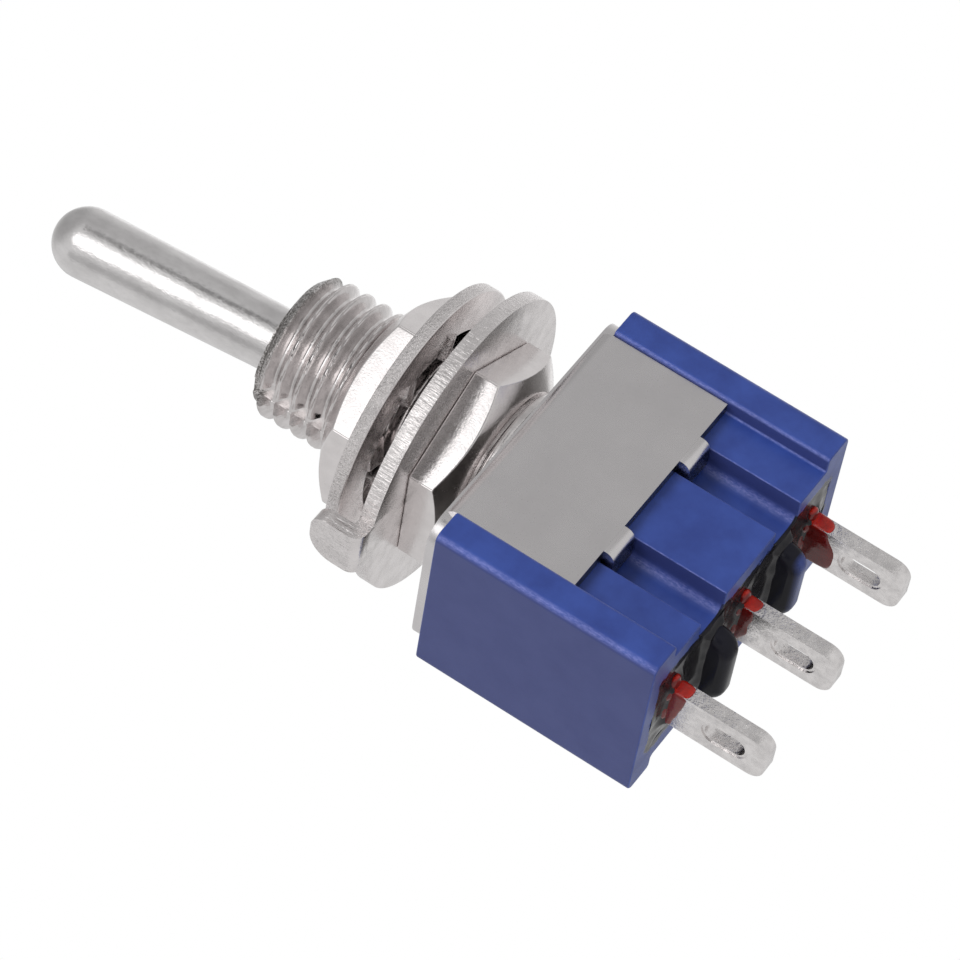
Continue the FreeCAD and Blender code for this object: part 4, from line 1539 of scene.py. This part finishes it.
@dataclass
class Studio:
    """White surroundings, soft lamps and the camera."""

    camera_mm: Triple = (-103.387, -154.634, -56.636)
    camera_turn: Triple = (117.0500, 55.4655, -10.7141)
    lens: float = 194.652
    ambient: float = 0.50
    reflected: float = 0.68
    floor_half: float = 1.5
    floor_height: float = -0.09
    aim: Triple = (0.0, 0.0, -0.005)
    lamps: tuple[Lamp, ...] = (
        Lamp("key", (-0.10, -0.34, 0.22), 0.20, 0.75),
        Lamp("fill", (-0.34, -0.12, -0.02), 0.25, 0.45),
    )
    glows: tuple[Glow, ...] = (
        Glow((0.25, -0.20, 0.95), 25.0, 60.0, 0.40),
        Glow((0.65, -0.73, 0.20), 14.0, 38.0, 0.48),
        Glow((-0.97, 0.07, 0.20), 4.0, 18.0, 0.45),
        Glow((0.79, 0.57, 0.20), 6.0, 26.0, 1.0),
        Glow((-0.53, -0.80, -0.26), 12.0, 30.0, 0.14),
        Glow((-0.64, -0.73, 0.23), 13.0, 23.5, 1.7),
        Glow((0.05, -0.975, 0.21), 3.0, 11.0, 0.16),
    )

    def build(self) -> None:
        """Makes the surroundings, the floor, the lamps and the camera."""
        self.surroundings()
        self.floor()
        for lamp in self.lamps:
            self.light(lamp)
        self.camera()

    def reflections(self, graph: Graph) -> Socket:
        """Tones the surroundings for reflections.

        Args:
            graph: Nodes of the world.

        Returns:
            The level in each direction.
        """
        where = graph.add("TexCoord").outputs["Generated"]
        tone: Socket | float = self.reflected
        for glow in self.glows:
            towards = Vector(glow.towards).normalized()
            dot = graph.add("VectorMath", {0: where, 1: towards}, operation="DOT_PRODUCT").outputs["Value"]
            outer, inner = (math.cos(math.radians(angle)) for angle in (glow.outer, glow.inner))
            inputs = {"Value": dot, "From Min": outer, "From Max": inner}
            patch = graph.add("MapRange", inputs, interpolation_type="SMOOTHSTEP")
            tone = graph.blended(patch.outputs["Result"], tone, glow.level)
        return tone

    def surroundings(self) -> None:
        """White to the camera, toned patches to reflections and an even level to matt surfaces."""
        world = bpy.data.worlds.new("studio")
        bpy.context.scene.world = world
        graph = Graph(world)
        rays = graph.add("LightPath").outputs
        lit = graph.blended(rays["Is Glossy Ray"], self.ambient, self.reflections(graph))
        seen = graph.math("MAXIMUM", rays["Is Camera Ray"], rays["Is Transmission Ray"])
        inputs = {"Color": (1.0, 1.0, 1.0, 1.0), "Strength": graph.blended(seen, lit, 1.0)}
        graph.add("OutputWorld", {"Surface": graph.add("Background", inputs).outputs[0]})

    def floor(self) -> None:
        """Pale floor well below the switch, white to the camera."""
        half = self.floor_half
        corners = [(x, y, self.floor_height) for x, y in centred((half, half))]
        floor = mesh_object("floor", corners, [(0, 1, 2, 3)])
        material = bpy.data.materials.new("pale_floor")
        graph = Graph(material)
        seen = graph.add("LightPath").outputs["Is Camera Ray"]
        matt = graph.add("BsdfDiffuse", {"Color": (0.8, 0.8, 0.8, 1.0)}).outputs[0]
        white = graph.add("Emission", {"Strength": 1.0}).outputs[0]
        choice = graph.add("MixShader", {0: seen, 1: matt, 2: white})
        graph.add("OutputMaterial", {"Surface": choice.outputs[0]})
        floor.data.materials.append(material)
        floor.visible_glossy = False

    def light(self, lamp: Lamp) -> None:
        """Adds a lamp that faces the switch.

        Args:
            lamp: The lamp's facts.
        """
        data = bpy.data.lights.new(lamp.name, "AREA")
        data.size = lamp.side
        data.energy = lamp.power
        light = linked(lamp.name, data)
        light.location = lamp.place
        light.rotation_euler = (Vector(self.aim) - Vector(lamp.place)).to_track_quat("-Z", "Y").to_euler()
        light.visible_glossy = False

    def camera(self) -> None:
        """Puts the camera where the photograph was taken from."""
        data = bpy.data.cameras.new("camera")
        data.lens = self.lens
        data.sensor_width = 36.0
        data.clip_start = 0.01
        camera = linked("camera", data)
        camera.location = Vector(self.camera_mm) * MM
        camera.rotation_euler = [math.radians(angle) for angle in self.camera_turn]
        bpy.context.scene.camera = camera


def main() -> None:
    """Builds the switch and its studio."""
    logging.basicConfig(level=logging.INFO, format="%(name)s %(message)s")
    bpy.context.scene.view_settings.view_transform = "Standard"
    pitch = TERMINAL_PITCH
    pieces = [
        Studio(), Lever(), Bushing(),
        Nut("upper_hex_nut", "upper_nut", ChamferSide.UP),
        Nut("lower_hex_nut", "lower_nut", ChamferSide.DOWN),
        LockWasher(), LocatingRing(), Frame(), Case(),
        Terminal("left_tinned_terminal", "left_terminal", -pitch, shelf=1.75),
        Terminal("centre_tinned_terminal", "centre_terminal", 0.0),
        Terminal("right_tinned_terminal", "right_terminal", pitch, shelf=-1.75),
        Varnish("left_red_varnish", "left_varnish_bead", -pitch, 1, reach=0.50, swing=0.25, lead=290.0),
        Varnish("centre_red_varnish", "centre_varnish_bead", 0.0, 2, reach=0.60, swing=0.30, lead=280.0),
        Varnish("right_red_varnish", "right_varnish_bead", pitch, 3, reach=0.95, swing=0.40, lead=190.0),
        Seal(), HiddenParts(),
    ]
    for piece in pieces:
        piece.build()


if __name__ == "__main__":
    main()
